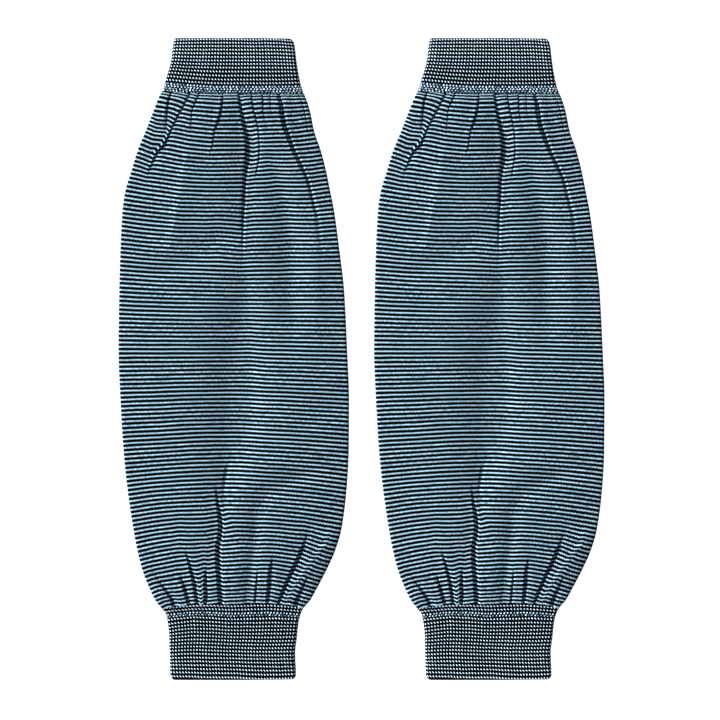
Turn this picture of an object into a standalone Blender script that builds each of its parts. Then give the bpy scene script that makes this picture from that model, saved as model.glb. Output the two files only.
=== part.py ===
"""A pair of knitted sleeves lying flat side by side, each gathered into a ribbed cuff at both ends.

Lengths are in metres. +Y runs up the sleeves to the upper cuffs, +X to the right seen from above,
and +Z up from the surface on which the sleeves lie. The origin is on that surface, under the
middle of the pair. Each sleeve is a tube pressed flat: an upper cuff, a body and a lower cuff.
"""

import math
from collections import namedtuple

import bmesh
import bpy

# Driving sizes of one sleeve and of the pair
SLEEVE_LENGTH = 0.400
UPPER_CUFF_LENGTH = 0.0346
LOWER_CUFF_LENGTH = 0.0474
PAIR_SPACING = 0.1595
JERSEY = 0.0012  # thickness of the body's cloth
RIB = 0.0017  # thickness of the cuffs' cloth
SEAM_GAP = 0.0003

# How the two layers lie on each other
SIDE_GAP = 0.0006  # hollow between the layers where they turn at the sides
CUFF_LOFT = 0.0006  # extra hollow in the middle of a cuff
BODY_LOFT = 0.0013  # extra hollow in the middle of the body
LAYER_GAP = 0.0003  # least hollow between the layers
LOFT_RUN = 0.012  # the body's loft grows over this run from each seam
BODY_FULLNESS = 5  # a higher power keeps the body's loft up further towards its sides
CUFF_FULLNESS = 4
SEAM_RISE = 0.0006  # the body is this much higher at a seam, where it meets the thicker cuff

# Ribs of the cuffs
RIBS_ACROSS = 43
RIB_DEPTH = 0.0003
RIB_FADE = 8  # a higher power keeps the full depth of the grooves up closer to the sides
EDGE_ROUND = 0.0004  # the free edges of the cuffs are rounded this much

# Mesh of the solids
BODY_ROWS = 22
ROW_CROWDING = 0.74  # 0 spaces the body's rows evenly, 1 crowds them all at the seams
SIDE_STEPS = 4  # faces around each side fold
UNDER_STEPS = 5  # faces across the underside
OUTER_COLUMNS = (0.34, 0.66)  # columns between two creases, as shares of the space between them
INNER_COLUMNS = (0.5,)
CUFF_ROWS = (0.08, 0.45, 0.8, 1.0)  # rows of a cuff as shares of its length, after its rounded edge
CUFF_INNER_STEPS = 12
THICK_LIMIT = 1.5  # a wall seen from above looks at most this many times its thickness
SMOOTH_ANGLE = math.radians(40)

# How the height of a crease runs
FOLD_START = 0.30  # share of a crease's height that is left at the seam
FOLD_RAMP = 0.009  # a crease reaches its full height this far from the seam
FOLD_HOLD = 0.35  # and keeps it over this share of its reach

LOWER_SEAM = SLEEVE_LENGTH - LOWER_CUFF_LENGTH
FIRST_ROW = UPPER_CUFF_LENGTH + SEAM_GAP / 2
LAST_ROW = LOWER_SEAM - SEAM_GAP / 2

# Outline and slope of the courses. down is measured from the upper edge along the middle.
# left and right are the reaches of the side folds, and the lifts say how much higher than its
# middle a course lies at that side.
Station = namedtuple("Station", "down left right left_lift right_lift")
STATIONS = (
    Station(0.0000, 0.0362, 0.0374, 0.0000, -0.0012),
    Station(0.0025, 0.0371, 0.0388, 0.0002, -0.0008),
    Station(0.0130, 0.0385, 0.0398, 0.0008, -0.0004),
    Station(0.0250, 0.0416, 0.0417, 0.0018, 0.0000),
    Station(0.0330, 0.0442, 0.0438, 0.0018, 0.0002),
    Station(0.0360, 0.0458, 0.0452, 0.0022, 0.0004),
    Station(0.0450, 0.0494, 0.0482, 0.0036, 0.0008),
    Station(0.0580, 0.0545, 0.0509, 0.0054, 0.0015),
    Station(0.0700, 0.0594, 0.0550, 0.0062, 0.0020),
    Station(0.0830, 0.0634, 0.0584, 0.0060, 0.0024),
    Station(0.0950, 0.0670, 0.0608, 0.0052, 0.0022),
    Station(0.1070, 0.0688, 0.0632, 0.0040, 0.0018),
    Station(0.1320, 0.0701, 0.0666, 0.0026, 0.0010),
    Station(0.1570, 0.0708, 0.0695, 0.0014, 0.0000),
    Station(0.1940, 0.0713, 0.0714, 0.0000, -0.0014),
    Station(0.2250, 0.0701, 0.0726, -0.0018, -0.0028),
    Station(0.2570, 0.0682, 0.0724, -0.0029, -0.0039),
    Station(0.2820, 0.0656, 0.0710, -0.0038, -0.0050),
    Station(0.3070, 0.0619, 0.0677, -0.0042, -0.0060),
    Station(0.3200, 0.0594, 0.0638, -0.0044, -0.0058),
    Station(0.3320, 0.0563, 0.0584, -0.0044, -0.0050),
    Station(0.3430, 0.0520, 0.0526, -0.0040, -0.0040),
    Station(0.3505, 0.0483, 0.0484, -0.0034, -0.0030),
    Station(0.3555, 0.0445, 0.0442, -0.0030, -0.0022),
    Station(0.3585, 0.0420, 0.0428, -0.0028, -0.0018),
    Station(0.3630, 0.0408, 0.0414, -0.0024, -0.0014),
    Station(0.3730, 0.0397, 0.0402, -0.0014, -0.0008),
    Station(0.3840, 0.0394, 0.0390, -0.0006, -0.0002),
    Station(0.3975, 0.0389, 0.0395, 0.0000, 0.0000),
    Station(0.4000, 0.0372, 0.0378, 0.0000, 0.0004),
)

# Where each crease runs: its place across the sleeve at these distances down the sleeve
PATH_STATIONS = (UPPER_CUFF_LENGTH, 0.0546, 0.0846, 0.1950, 0.3028, 0.3328, LOWER_SEAM)
Path = namedtuple("Path", "upper_seam upper_near upper_far waist lower_far lower_near lower_seam")
PATHS = (
    Path(-0.0380, -0.0415, -0.0583, -0.0613, -0.0557, -0.0495, -0.0362),
    Path(-0.0275, -0.0382, -0.0531, -0.0500, -0.0414, -0.0318, -0.0279),
    Path(-0.0214, -0.0289, -0.0377, -0.0377, -0.0321, -0.0265, -0.0225),
    Path(-0.0063, -0.0088, -0.0171, -0.0202, -0.0184, -0.0161, -0.0161),
    Path(0.0039, 0.0072, 0.0084, 0.0075, -0.0068, -0.0087, -0.0072),
    Path(0.0121, 0.0151, 0.0149, 0.0184, 0.0115, 0.0090, 0.0078),
    Path(0.0186, 0.0212, 0.0225, 0.0302, 0.0209, 0.0171, 0.0137),
    Path(0.0240, 0.0271, 0.0321, 0.0420, 0.0314, 0.0237, 0.0224),
    Path(0.0300, 0.0325, 0.0451, 0.0545, 0.0495, 0.0367, 0.0273),
    Path(0.0371, 0.0417, 0.0520, 0.0640, 0.0600, 0.0440, 0.0320),
    Path(0.0410, 0.0456, 0.0551, 0.0674, 0.0645, 0.0495, 0.0390),
)

# Heights of the cloth at each crease, above or below its mean height, in the gathers of the upper
# and of the lower seam: at the lip left of the crease, in the crease and at the lip right of it.
# reach is how far the crease runs from its seam, and half_width is from the crease to a lip.
Fold = namedtuple("Fold", "reach left floor right half_width")
UPPER_FOLDS = (
    Fold(0.024, 0.0012, -0.0006, -0.0006, 0.0005),
    Fold(0.056, 0.0016, -0.0013, -0.0006, 0.0006),
    Fold(0.015, 0.0008, -0.0004, -0.0004, 0.0005),
    Fold(0.044, 0.0016, -0.0012, -0.0012, 0.0005),
    Fold(0.094, 0.0018, -0.0016, -0.0016, 0.0006),
    Fold(0.052, 0.0008, -0.0011, -0.0004, 0.0005),
    Fold(0.020, 0.0006, -0.0003, -0.0002, 0.0005),
    Fold(0.012, 0.0004, -0.0002, -0.0002, 0.0005),
    Fold(0.078, -0.0014, -0.0018, 0.0015, 0.0006),
    Fold(0.014, 0.0003, 0.0000, 0.0000, 0.0005),
    Fold(0.010, 0.0002, 0.0000, 0.0000, 0.0005),
)
LOWER_FOLDS = (
    Fold(0.018, 0.0011, -0.0010, -0.0008, 0.0006),
    Fold(0.020, 0.0013, -0.0008, -0.0006, 0.0005),
    Fold(0.046, -0.0004, -0.0014, -0.0004, 0.0007),
    Fold(0.024, 0.0012, -0.0004, -0.0002, 0.0005),
    Fold(0.100, 0.0010, -0.0018, 0.0010, 0.0013),
    Fold(0.028, 0.0002, -0.0006, -0.0003, 0.0008),
    Fold(0.018, 0.0010, -0.0004, -0.0004, 0.0005),
    Fold(0.042, 0.0014, -0.0010, -0.0008, 0.0005),
    Fold(0.050, 0.0014, -0.0014, -0.0008, 0.0006),
    Fold(0.046, -0.0006, -0.0006, 0.0013, 0.0005),
    Fold(0.016, 0.0010, -0.0008, -0.0006, 0.0005),
)

# Broad swells of the front between the gathers, along a line from its start to its end
Swell = namedtuple("Swell", "start_x start_down middle_x end_x end_down rise width")
SWELLS = (
    Swell(-0.0220, 0.070, -0.0290, -0.0350, 0.125, 0.0008, 0.0060),
    Swell(0.0190, 0.082, 0.0300, 0.0360, 0.185, -0.0009, 0.0070),
    Swell(0.0310, 0.086, 0.0400, 0.0450, 0.175, 0.0008, 0.0065),
    Swell(-0.0190, 0.160, -0.0200, -0.0180, 0.290, 0.0009, 0.0120),
    Swell(0.0080, 0.150, 0.0040, -0.0060, 0.300, -0.0009, 0.0070),
    Swell(0.0200, 0.165, 0.0170, 0.0080, 0.320, 0.0008, 0.0080),
)

# Materials, as sRGB
JERSEY_COLOUR = (0.33, 0.41, 0.45)
RIB_COLOUR = (0.27, 0.35, 0.39)
KNIT_ROUGHNESS = 0.9

SIDES = {"left": -PAIR_SPACING / 2, "right": PAIR_SPACING / 2}
TURN = 4  # once around a course, counted as two side folds, a front and an underside


def linear(channel):
    """An sRGB channel as a linear one."""
    return channel / 12.92 if channel <= 0.04045 else ((channel + 0.055) / 1.055) ** 2.4


def clamp(value, low=0.0, high=1.0):
    return max(low, min(high, value))


def smoothstep(low, high, value):
    share = clamp((value - low) / (high - low))
    return share * share * (3 - 2 * share)


def slopes(places, values):
    """The slope at each place of a smooth curve that doesn't overshoot its values."""
    steps = [(b - a) / (q - p) for a, b, p, q in zip(values, values[1:], places, places[1:])]
    inner = [0.0 if a * b <= 0 else 2 * a * b / (a + b) for a, b in zip(steps, steps[1:])]
    return [steps[0], *inner, steps[-1]]


def curve_through(places, values):
    """A function that reads the smooth curve through the values at any place."""
    tilt = slopes(places, values)

    def read(place):
        place = clamp(place, places[0], places[-1])
        i = max(k for k in range(len(places) - 1) if place >= places[k] or k == 0)
        run = places[i + 1] - places[i]
        t = (place - places[i]) / run
        return (
            (1 + 2 * t) * (1 - t) ** 2 * values[i]
            + t * (1 - t) ** 2 * run * tilt[i]
            + t * t * (3 - 2 * t) * values[i + 1]
            - t * t * (1 - t) * run * tilt[i + 1]
        )

    return read


def station_curve(column):
    return curve_through([s.down for s in STATIONS], [getattr(s, column) for s in STATIONS])


reach_left, reach_right = station_curve("left"), station_curve("right")
lift_left, lift_right = station_curve("left_lift"), station_curve("right_lift")
crease_paths = [curve_through(PATH_STATIONS, path) for path in PATHS]


def lift_at(down, across):
    """How far the course at down lies above its middle at a share across, from -1 at the left side to 1."""
    return across * across * (lift_left(down) if across < 0 else lift_right(down))


def side_reaches(down):
    """Left and right reach of the course at down, read from the outline where its ends lie."""
    return reach_left(down - lift_left(down)), reach_right(down - lift_right(down))


def strength(fold, from_seam):
    """How much of a fold's height there is at a distance from its seam."""
    grown = FOLD_START + (1 - FOLD_START) * smoothstep(0, FOLD_RAMP, from_seam)
    return grown * (1 - smoothstep(FOLD_HOLD * fold.reach, fold.reach, from_seam))


def crease_heights(index, down):
    """Heights at the left lip, in the crease and at the right lip, and the half width, at down."""
    upper, lower = UPPER_FOLDS[index], LOWER_FOLDS[index]
    above = strength(upper, down - UPPER_CUFF_LENGTH)
    below = strength(lower, LOWER_SEAM - down)
    share = above / (above + below) if above + below > 0 else 0.5
    half = share * upper.half_width + (1 - share) * lower.half_width
    lips = ("left", "floor", "right")
    return [above * getattr(upper, lip) + below * getattr(lower, lip) for lip in lips], half


def swell_height(x, down):
    """Sum of the broad swells at a point of the front."""
    total = 0.0
    for swell in SWELLS:
        along = (down - swell.start_down) / (swell.end_down - swell.start_down)
        if 0 < along < 1:
            centre = (
                (1 - along) ** 2 * swell.start_x
                + 2 * along * (1 - along) * swell.middle_x
                + along * along * swell.end_x
            )
            total += swell.rise * math.sin(math.pi * along) * math.exp(-(((x - centre) / swell.width) ** 2))
    return total


def body_front(down, between):
    """Columns of the body's front on the course at down: their places across and relief heights."""
    left, right = side_reaches(down)
    turn = JERSEY + SIDE_GAP / 2
    low, high = -left + turn, right - turn
    lips = [(low, low, 0.0, 0.0)]
    columns = []
    for index, path in enumerate(crease_paths):
        centre = path(down)
        across = centre / (left if centre < 0 else right)
        centre = path(down - lift_at(down, across))
        heights, half = crease_heights(index, down)
        lips.append((centre - half, centre + half, heights[0], heights[2]))
        columns.append([(centre - half, heights[0]), (centre, heights[1]), (centre + half, heights[2])])
    lips.append((high, high, 0.0, 0.0))
    front = [(low, 0.0)]
    for index, (before, after) in enumerate(zip(lips, lips[1:])):
        for share in between:
            eased = smoothstep(0, 1, share)
            place = before[1] + share * (after[0] - before[1])
            front.append((place, (1 - eased) * before[3] + eased * after[2]))
        front.extend(columns[index] if index < len(columns) else [(high, 0.0)])
    return [(x, height + swell_height(x, down)) for x, height in front]


def body_height(x, down):
    """Mean height of the body's upper face: its two layers, the hollow between them and the loft."""
    left, right = side_reaches(down)
    across = clamp(x / (left if x < 0 else right), -1, 1)
    inward = math.sqrt(1 - abs(across) ** BODY_FULLNESS)
    grown = smoothstep(0, LOFT_RUN, min(down - UPPER_CUFF_LENGTH, LOWER_SEAM - down))
    loft = grown * BODY_LOFT + (1 - grown) * (CUFF_LOFT + SEAM_RISE)
    return 2 * JERSEY + SIDE_GAP + loft * inward


def side_turn(x, height, radius, side):
    """Points around a side fold: up the left one, where side is -1, or down the right one, where it is 1."""
    angles = [side * math.pi * (0.5 - step / SIDE_STEPS) for step in range(SIDE_STEPS + 1)]
    return [(x + side * radius * math.cos(angle), height + radius * math.sin(angle)) for angle in angles]


def ring(down, front, wall, inside=False, inset=0.0):
    """The points around one course: up the left fold, over the front, down the right fold, underneath.

    front holds (x, height) of the upper face, and inset draws the whole ring in. Returns a list of
    (around, point), where around runs from 0 to TURN and tells the fold, front, fold and underside apart.
    """
    left, right = side_reaches(down)
    height = wall + SIDE_GAP / 2
    radius = SIDE_GAP / 2 if inside else height - inset
    base = wall if inside else inset
    turn_left, turn_right = height - left, right - height
    section = []
    for step, point in enumerate(side_turn(turn_left, height, radius, -1)):
        section.append((step / SIDE_STEPS, point))
    for x, upper in front[1:-1]:
        section.append((1 + (x - turn_left) / (turn_right - turn_left), (x, upper - inset)))
    for step, point in enumerate(side_turn(turn_right, height, radius, 1)):
        section.append((2 + step / SIDE_STEPS, point))
    for step in range(1, UNDER_STEPS):
        share = step / UNDER_STEPS
        section.append((3 + share, (turn_right + share * (turn_left - turn_right), base)))
    points = []
    for around, (x, z) in section:
        across = clamp(x / (left if x < 0 else right), -1, 1)
        points.append((around, (x, SLEEVE_LENGTH / 2 - down + lift_at(down, across), z)))
    return points


def inner_front(front, wall):
    """The lower face of the front layer, one wall below the upper face and clear of the back layer."""
    inner = [front[0]]
    for before, here, after in zip(front, front[1:], front[2:]):
        slope = (after[1] - before[1]) / (after[0] - before[0])
        depth = wall * min(THICK_LIMIT, math.hypot(1, slope))
        inner.append((here[0], max(here[1] - depth, wall + LAYER_GAP)))
    return [*inner, front[-1]]


def body_rings(inside):
    """Rings of the body from the upper seam to the lower one, crowded towards the seams."""
    between = INNER_COLUMNS if inside else OUTER_COLUMNS
    rings = []
    for row in range(BODY_ROWS + 1):
        even = row / BODY_ROWS
        share = even - ROW_CROWDING * math.sin(2 * math.pi * even) / (2 * math.pi)
        down = FIRST_ROW + share * (LAST_ROW - FIRST_ROW)
        least = 2 * JERSEY + LAYER_GAP
        front = [(x, max(least, body_height(x, down) + relief)) for x, relief in body_front(down, between)]
        front = inner_front(front, JERSEY) if inside else front
        rings.append(ring(down, front, JERSEY, inside))
    return rings


def cuff_front(down, steps, ribbed):
    """Upper face of a cuff on the course at down, with raised ribs or plain."""
    left, right = side_reaches(down)
    turn = RIB + SIDE_GAP / 2
    low, high = -left + turn, right - turn
    front = []
    for step in range(steps + 1):
        x = low + (high - low) * step / steps
        across = x / (left if x < 0 else right)
        height = 2 * RIB + SIDE_GAP + CUFF_LOFT * (1 - across**CUFF_FULLNESS)
        raised = RIB_DEPTH if ribbed and step % 2 else 0.0
        front.append((x, height - RIB_DEPTH * (1 - across**RIB_FADE) + raised))
    return front


def cuff_rings(free_edge, seam, inside):
    """Rings of a cuff from its free edge to its seam."""
    run = seam - free_edge
    downs = [free_edge + share * run for share in CUFF_ROWS]
    if inside:
        fronts = [(down, cuff_front(down, CUFF_INNER_STEPS, False)) for down in [free_edge, *downs[1:]]]
        return [ring(down, inner_front(front, RIB - RIB_DEPTH), RIB, True) for down, front in fronts]
    rounded = free_edge + math.copysign(2 * EDGE_ROUND, run)
    fronts = [(down, cuff_front(down, 2 * RIBS_ACROSS, True)) for down in [free_edge, rounded, *downs]]
    return [
        ring(down, front, RIB, inset=0.0 if index else EDGE_ROUND)
        for index, (down, front) in enumerate(fronts)
    ]


def skin(bm, rings, outwards):
    """Faces between rings of equally many points. Returns the rings as (around, vertex) lists."""
    loops = [[(around, bm.verts.new(point)) for around, point in points] for points in rings]
    for loop, following in zip(loops, loops[1:]):
        for index in range(len(loop)):
            ahead = (index + 1) % len(loop)
            corners = [loop[index][1], loop[ahead][1], following[ahead][1], following[index][1]]
            bm.faces.new(corners if outwards else corners[::-1])
    return loops


def rim(bm, outer, inner, outwards):
    """Closes the wall between the end of the outer skin and the end of the inner one."""
    outer, inner = [*outer, (TURN, outer[0][1])], [*inner, (TURN, inner[0][1])]
    i = j = 0
    while i + 1 < len(outer) or j + 1 < len(inner):
        corners = [outer[i][1], inner[j][1]]
        if j + 1 == len(inner) or (i + 1 < len(outer) and outer[i + 1][0] <= inner[j + 1][0]):
            i += 1
            corners.append(outer[i][1])
        else:
            j += 1
            corners.append(inner[j][1])
        bm.faces.new(corners if outwards else corners[::-1])


def tube(name, outer_rings, inner_rings, downwards, material):
    """The mesh of a wall of cloth between two skins, open at both ends."""
    bm = bmesh.new()
    outer = skin(bm, outer_rings, downwards)
    inner = skin(bm, inner_rings, not downwards)
    rim(bm, outer[0], inner[0], downwards)
    rim(bm, outer[-1], inner[-1], not downwards)
    bmesh.ops.triangulate(bm, faces=bm.faces[:])
    bmesh.ops.recalc_face_normals(bm, faces=bm.faces[:])
    mesh = bpy.data.meshes.new(name)
    bm.to_mesh(mesh)
    bm.free()
    mesh.shade_smooth()
    mesh.set_sharp_from_angle(angle=SMOOTH_ANGLE)
    mesh.materials.append(material)
    return mesh


def body(material):
    """The gathered tube between the cuffs."""
    return tube("body", body_rings(False), body_rings(True), True, material)


def cuff(name, free_edge, seam, material):
    """A ribbed tube from its free edge to its seam, both as distances down the sleeve."""
    outer, inner = cuff_rings(free_edge, seam, False), cuff_rings(free_edge, seam, True)
    return tube(name, outer, inner, seam > free_edge, material)


def knit(name, colour):
    """A matt knitted cloth."""
    material = bpy.data.materials.new(name)
    material.use_nodes = True
    shader = material.node_tree.nodes["Principled BSDF"]
    shader.inputs["Base Color"].default_value = (*[linear(c) for c in colour], 1)
    shader.inputs["Roughness"].default_value = KNIT_ROUGHNESS
    shader.inputs["Metallic"].default_value = 0.0
    return material


def place(side, shift, meshes):
    """One sleeve: its pieces as objects, parented to an empty on its middle line."""
    middle = bpy.data.objects.new(side + "_sleeve", None)
    middle.location = (shift, 0, 0)
    bpy.context.scene.collection.objects.link(middle)
    for mesh in meshes:
        piece = bpy.data.objects.new(side + "_" + mesh.name, mesh)
        piece.parent = middle
        bpy.context.scene.collection.objects.link(piece)


def main():
    for old in list(bpy.data.objects):
        bpy.data.objects.remove(old)
    jersey, rib = knit("striped_jersey", JERSEY_COLOUR), knit("ribbed_cuff", RIB_COLOUR)
    meshes = [
        cuff("upper_cuff", 0.0, UPPER_CUFF_LENGTH - SEAM_GAP / 2, rib),
        body(jersey),
        cuff("lower_cuff", SLEEVE_LENGTH, LOWER_SEAM + SEAM_GAP / 2, rib),
    ]
    for side, shift in SIDES.items():
        place(side, shift, meshes)


main()
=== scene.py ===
"""Dresses a pair of knitted sleeves that lie flat: striped jersey bodies gathered into ribbed cuffs.

Lengths are in metres. +Y runs up the sleeves to the upper cuffs, +X to the right seen from above
and +Z up from the surface on which the sleeves lie. down is a distance from a sleeve's upper edge.
Each sleeve is a flat tube of three pieces, an upper cuff, a body and a lower cuff. The body is a
single wall of jersey with listed gathers, and its stripes follow a knit map of wale and stripe
counts. The cuffs have real ribs, and their dots follow a map of rib and row counts.
"""

import logging
import math
from dataclasses import dataclass
from enum import Enum
from functools import cached_property
from typing import Any, NamedTuple

import bmesh
import bpy
import numpy as np
from mathutils import Matrix, Vector


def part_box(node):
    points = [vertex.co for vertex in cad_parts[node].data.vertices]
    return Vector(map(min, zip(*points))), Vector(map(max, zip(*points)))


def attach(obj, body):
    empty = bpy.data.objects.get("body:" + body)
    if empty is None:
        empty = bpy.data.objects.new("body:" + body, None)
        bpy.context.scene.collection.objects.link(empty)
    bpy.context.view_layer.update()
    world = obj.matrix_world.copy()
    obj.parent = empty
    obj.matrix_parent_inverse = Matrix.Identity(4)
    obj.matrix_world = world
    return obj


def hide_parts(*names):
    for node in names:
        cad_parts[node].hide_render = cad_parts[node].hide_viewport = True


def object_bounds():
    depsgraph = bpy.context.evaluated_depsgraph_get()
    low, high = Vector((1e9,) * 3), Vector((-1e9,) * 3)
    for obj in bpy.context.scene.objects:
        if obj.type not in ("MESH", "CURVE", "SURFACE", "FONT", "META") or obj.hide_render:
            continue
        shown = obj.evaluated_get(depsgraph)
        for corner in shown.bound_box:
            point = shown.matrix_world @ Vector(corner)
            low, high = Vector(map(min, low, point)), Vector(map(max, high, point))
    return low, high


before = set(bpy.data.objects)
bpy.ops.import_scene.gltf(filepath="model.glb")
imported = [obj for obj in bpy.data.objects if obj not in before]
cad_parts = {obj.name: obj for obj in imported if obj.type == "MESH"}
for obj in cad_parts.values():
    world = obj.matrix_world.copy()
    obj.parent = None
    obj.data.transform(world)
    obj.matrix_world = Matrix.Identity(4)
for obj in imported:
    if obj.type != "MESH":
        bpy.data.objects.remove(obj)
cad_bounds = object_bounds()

log = logging.getLogger("sleeves")

KNIT_MAP = "knit"
BODY_FRAME = "root"
FLOOR_NAME = "floor"

Colour = tuple[float, float, float]
Grain = tuple[float, float]

# Sizes of one sleeve and of the pair, of which the first two are read from model.glb
SLEEVE_LENGTH = cad_bounds[1].y - cad_bounds[0].y
PAIR_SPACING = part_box("right_body")[0].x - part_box("left_body")[0].x
UPPER_CUFF_LENGTH = 0.0346
LOWER_CUFF_LENGTH = 0.0474
LOWER_SEAM = SLEEVE_LENGTH - LOWER_CUFF_LENGTH

# How the two layers of a sleeve lie on each other
JERSEY = 0.0012  # room that the body's cloth takes
RIB = 0.0017  # room that the cuffs' cloth takes
SIDE_GAP = 0.0006  # hollow between the layers where they turn at the sides
CUFF_LOFT = 0.0006  # extra hollow in the middle of a cuff
BODY_LOFT = 0.0018  # extra hollow in the middle of the body
LOFT_RUN = 0.012  # the body's loft grows over this run from each seam
CUFF_FULLNESS = 4  # a higher power keeps a cuff's loft up further towards its sides
SEAM_RISE = 0.0006  # the body is this much higher at a seam, where it meets the thicker cuff

WAIST = 0.195  # the course on which the mesh's columns and the wales are counted
MM = 0.001
SAME_PLACE = 1e-7  # points nearer to each other than this become one


class Station(NamedTuple):
    """Reaches of the side folds at a distance down the sleeve, and the rise of a course at them."""

    down: float
    left: float
    right: float
    left_lift: float
    right_lift: float


STATIONS = (
    Station(0.0000, 0.0362, 0.0357, 0.0000, -0.0003),
    Station(0.0010, 0.0366, 0.0372, 0.0001, -0.0003),
    Station(0.0025, 0.0371, 0.0383, 0.0002, -0.0003),
    Station(0.0060, 0.0376, 0.0390, 0.0004, -0.0003),
    Station(0.0130, 0.0385, 0.0398, 0.0008, -0.0003),
    Station(0.0250, 0.0416, 0.0417, 0.0018, 0.0000),
    Station(0.0330, 0.0442, 0.0438, 0.0018, 0.0002),
    Station(0.0360, 0.0458, 0.0452, 0.0022, 0.0004),
    Station(0.0450, 0.0494, 0.0482, 0.0036, 0.0008),
    Station(0.0580, 0.0545, 0.0509, 0.0054, 0.0015),
    Station(0.0700, 0.0594, 0.0550, 0.0062, 0.0020),
    Station(0.0830, 0.0634, 0.0584, 0.0060, 0.0024),
    Station(0.0950, 0.0670, 0.0608, 0.0052, 0.0022),
    Station(0.1070, 0.0688, 0.0632, 0.0040, 0.0018),
    Station(0.1320, 0.0701, 0.0666, 0.0026, 0.0010),
    Station(0.1570, 0.0708, 0.0695, 0.0014, 0.0000),
    Station(0.1940, 0.0713, 0.0714, 0.0000, -0.0014),
    Station(0.2250, 0.0701, 0.0726, -0.0018, -0.0028),
    Station(0.2570, 0.0682, 0.0724, -0.0029, -0.0039),
    Station(0.2820, 0.0656, 0.0710, -0.0038, -0.0050),
    Station(0.3070, 0.0619, 0.0677, -0.0042, -0.0060),
    Station(0.3200, 0.0594, 0.0638, -0.0044, -0.0058),
    Station(0.3320, 0.0563, 0.0584, -0.0044, -0.0050),
    Station(0.3430, 0.0520, 0.0526, -0.0040, -0.0040),
    Station(0.3505, 0.0483, 0.0484, -0.0034, -0.0030),
    Station(0.3555, 0.0445, 0.0442, -0.0030, -0.0022),
    Station(0.3585, 0.0420, 0.0428, -0.0028, -0.0018),
    Station(0.3630, 0.0408, 0.0414, -0.0024, -0.0014),
    Station(0.3730, 0.0397, 0.0402, -0.0014, -0.0008),
    Station(0.3840, 0.0394, 0.0390, -0.0006, -0.0002),
    Station(0.3975, 0.0389, 0.0395, 0.0000, 0.0000),
    Station(0.4000, 0.0372, 0.0378, 0.0000, 0.0004),
)


class Section(NamedTuple):
    """A crease at a distance down the sleeve, in millimetres.

    place is across the sleeve. left, floor and right are the heights of its left lip, its line and
    its right lip above the cloth's mean height, and the runs lie between its line and its lips.
    jump is how much higher the stripes lie right of it, and a hook is how far they turn up at a lip.
    """

    down: float
    place: float
    left: float = 0.0
    floor: float = 0.0
    right: float = 0.0
    left_run: float = 1.0
    right_run: float = 1.2
    jump: float = 0.0
    left_hook: float = 0.0
    right_hook: float = 0.0


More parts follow.
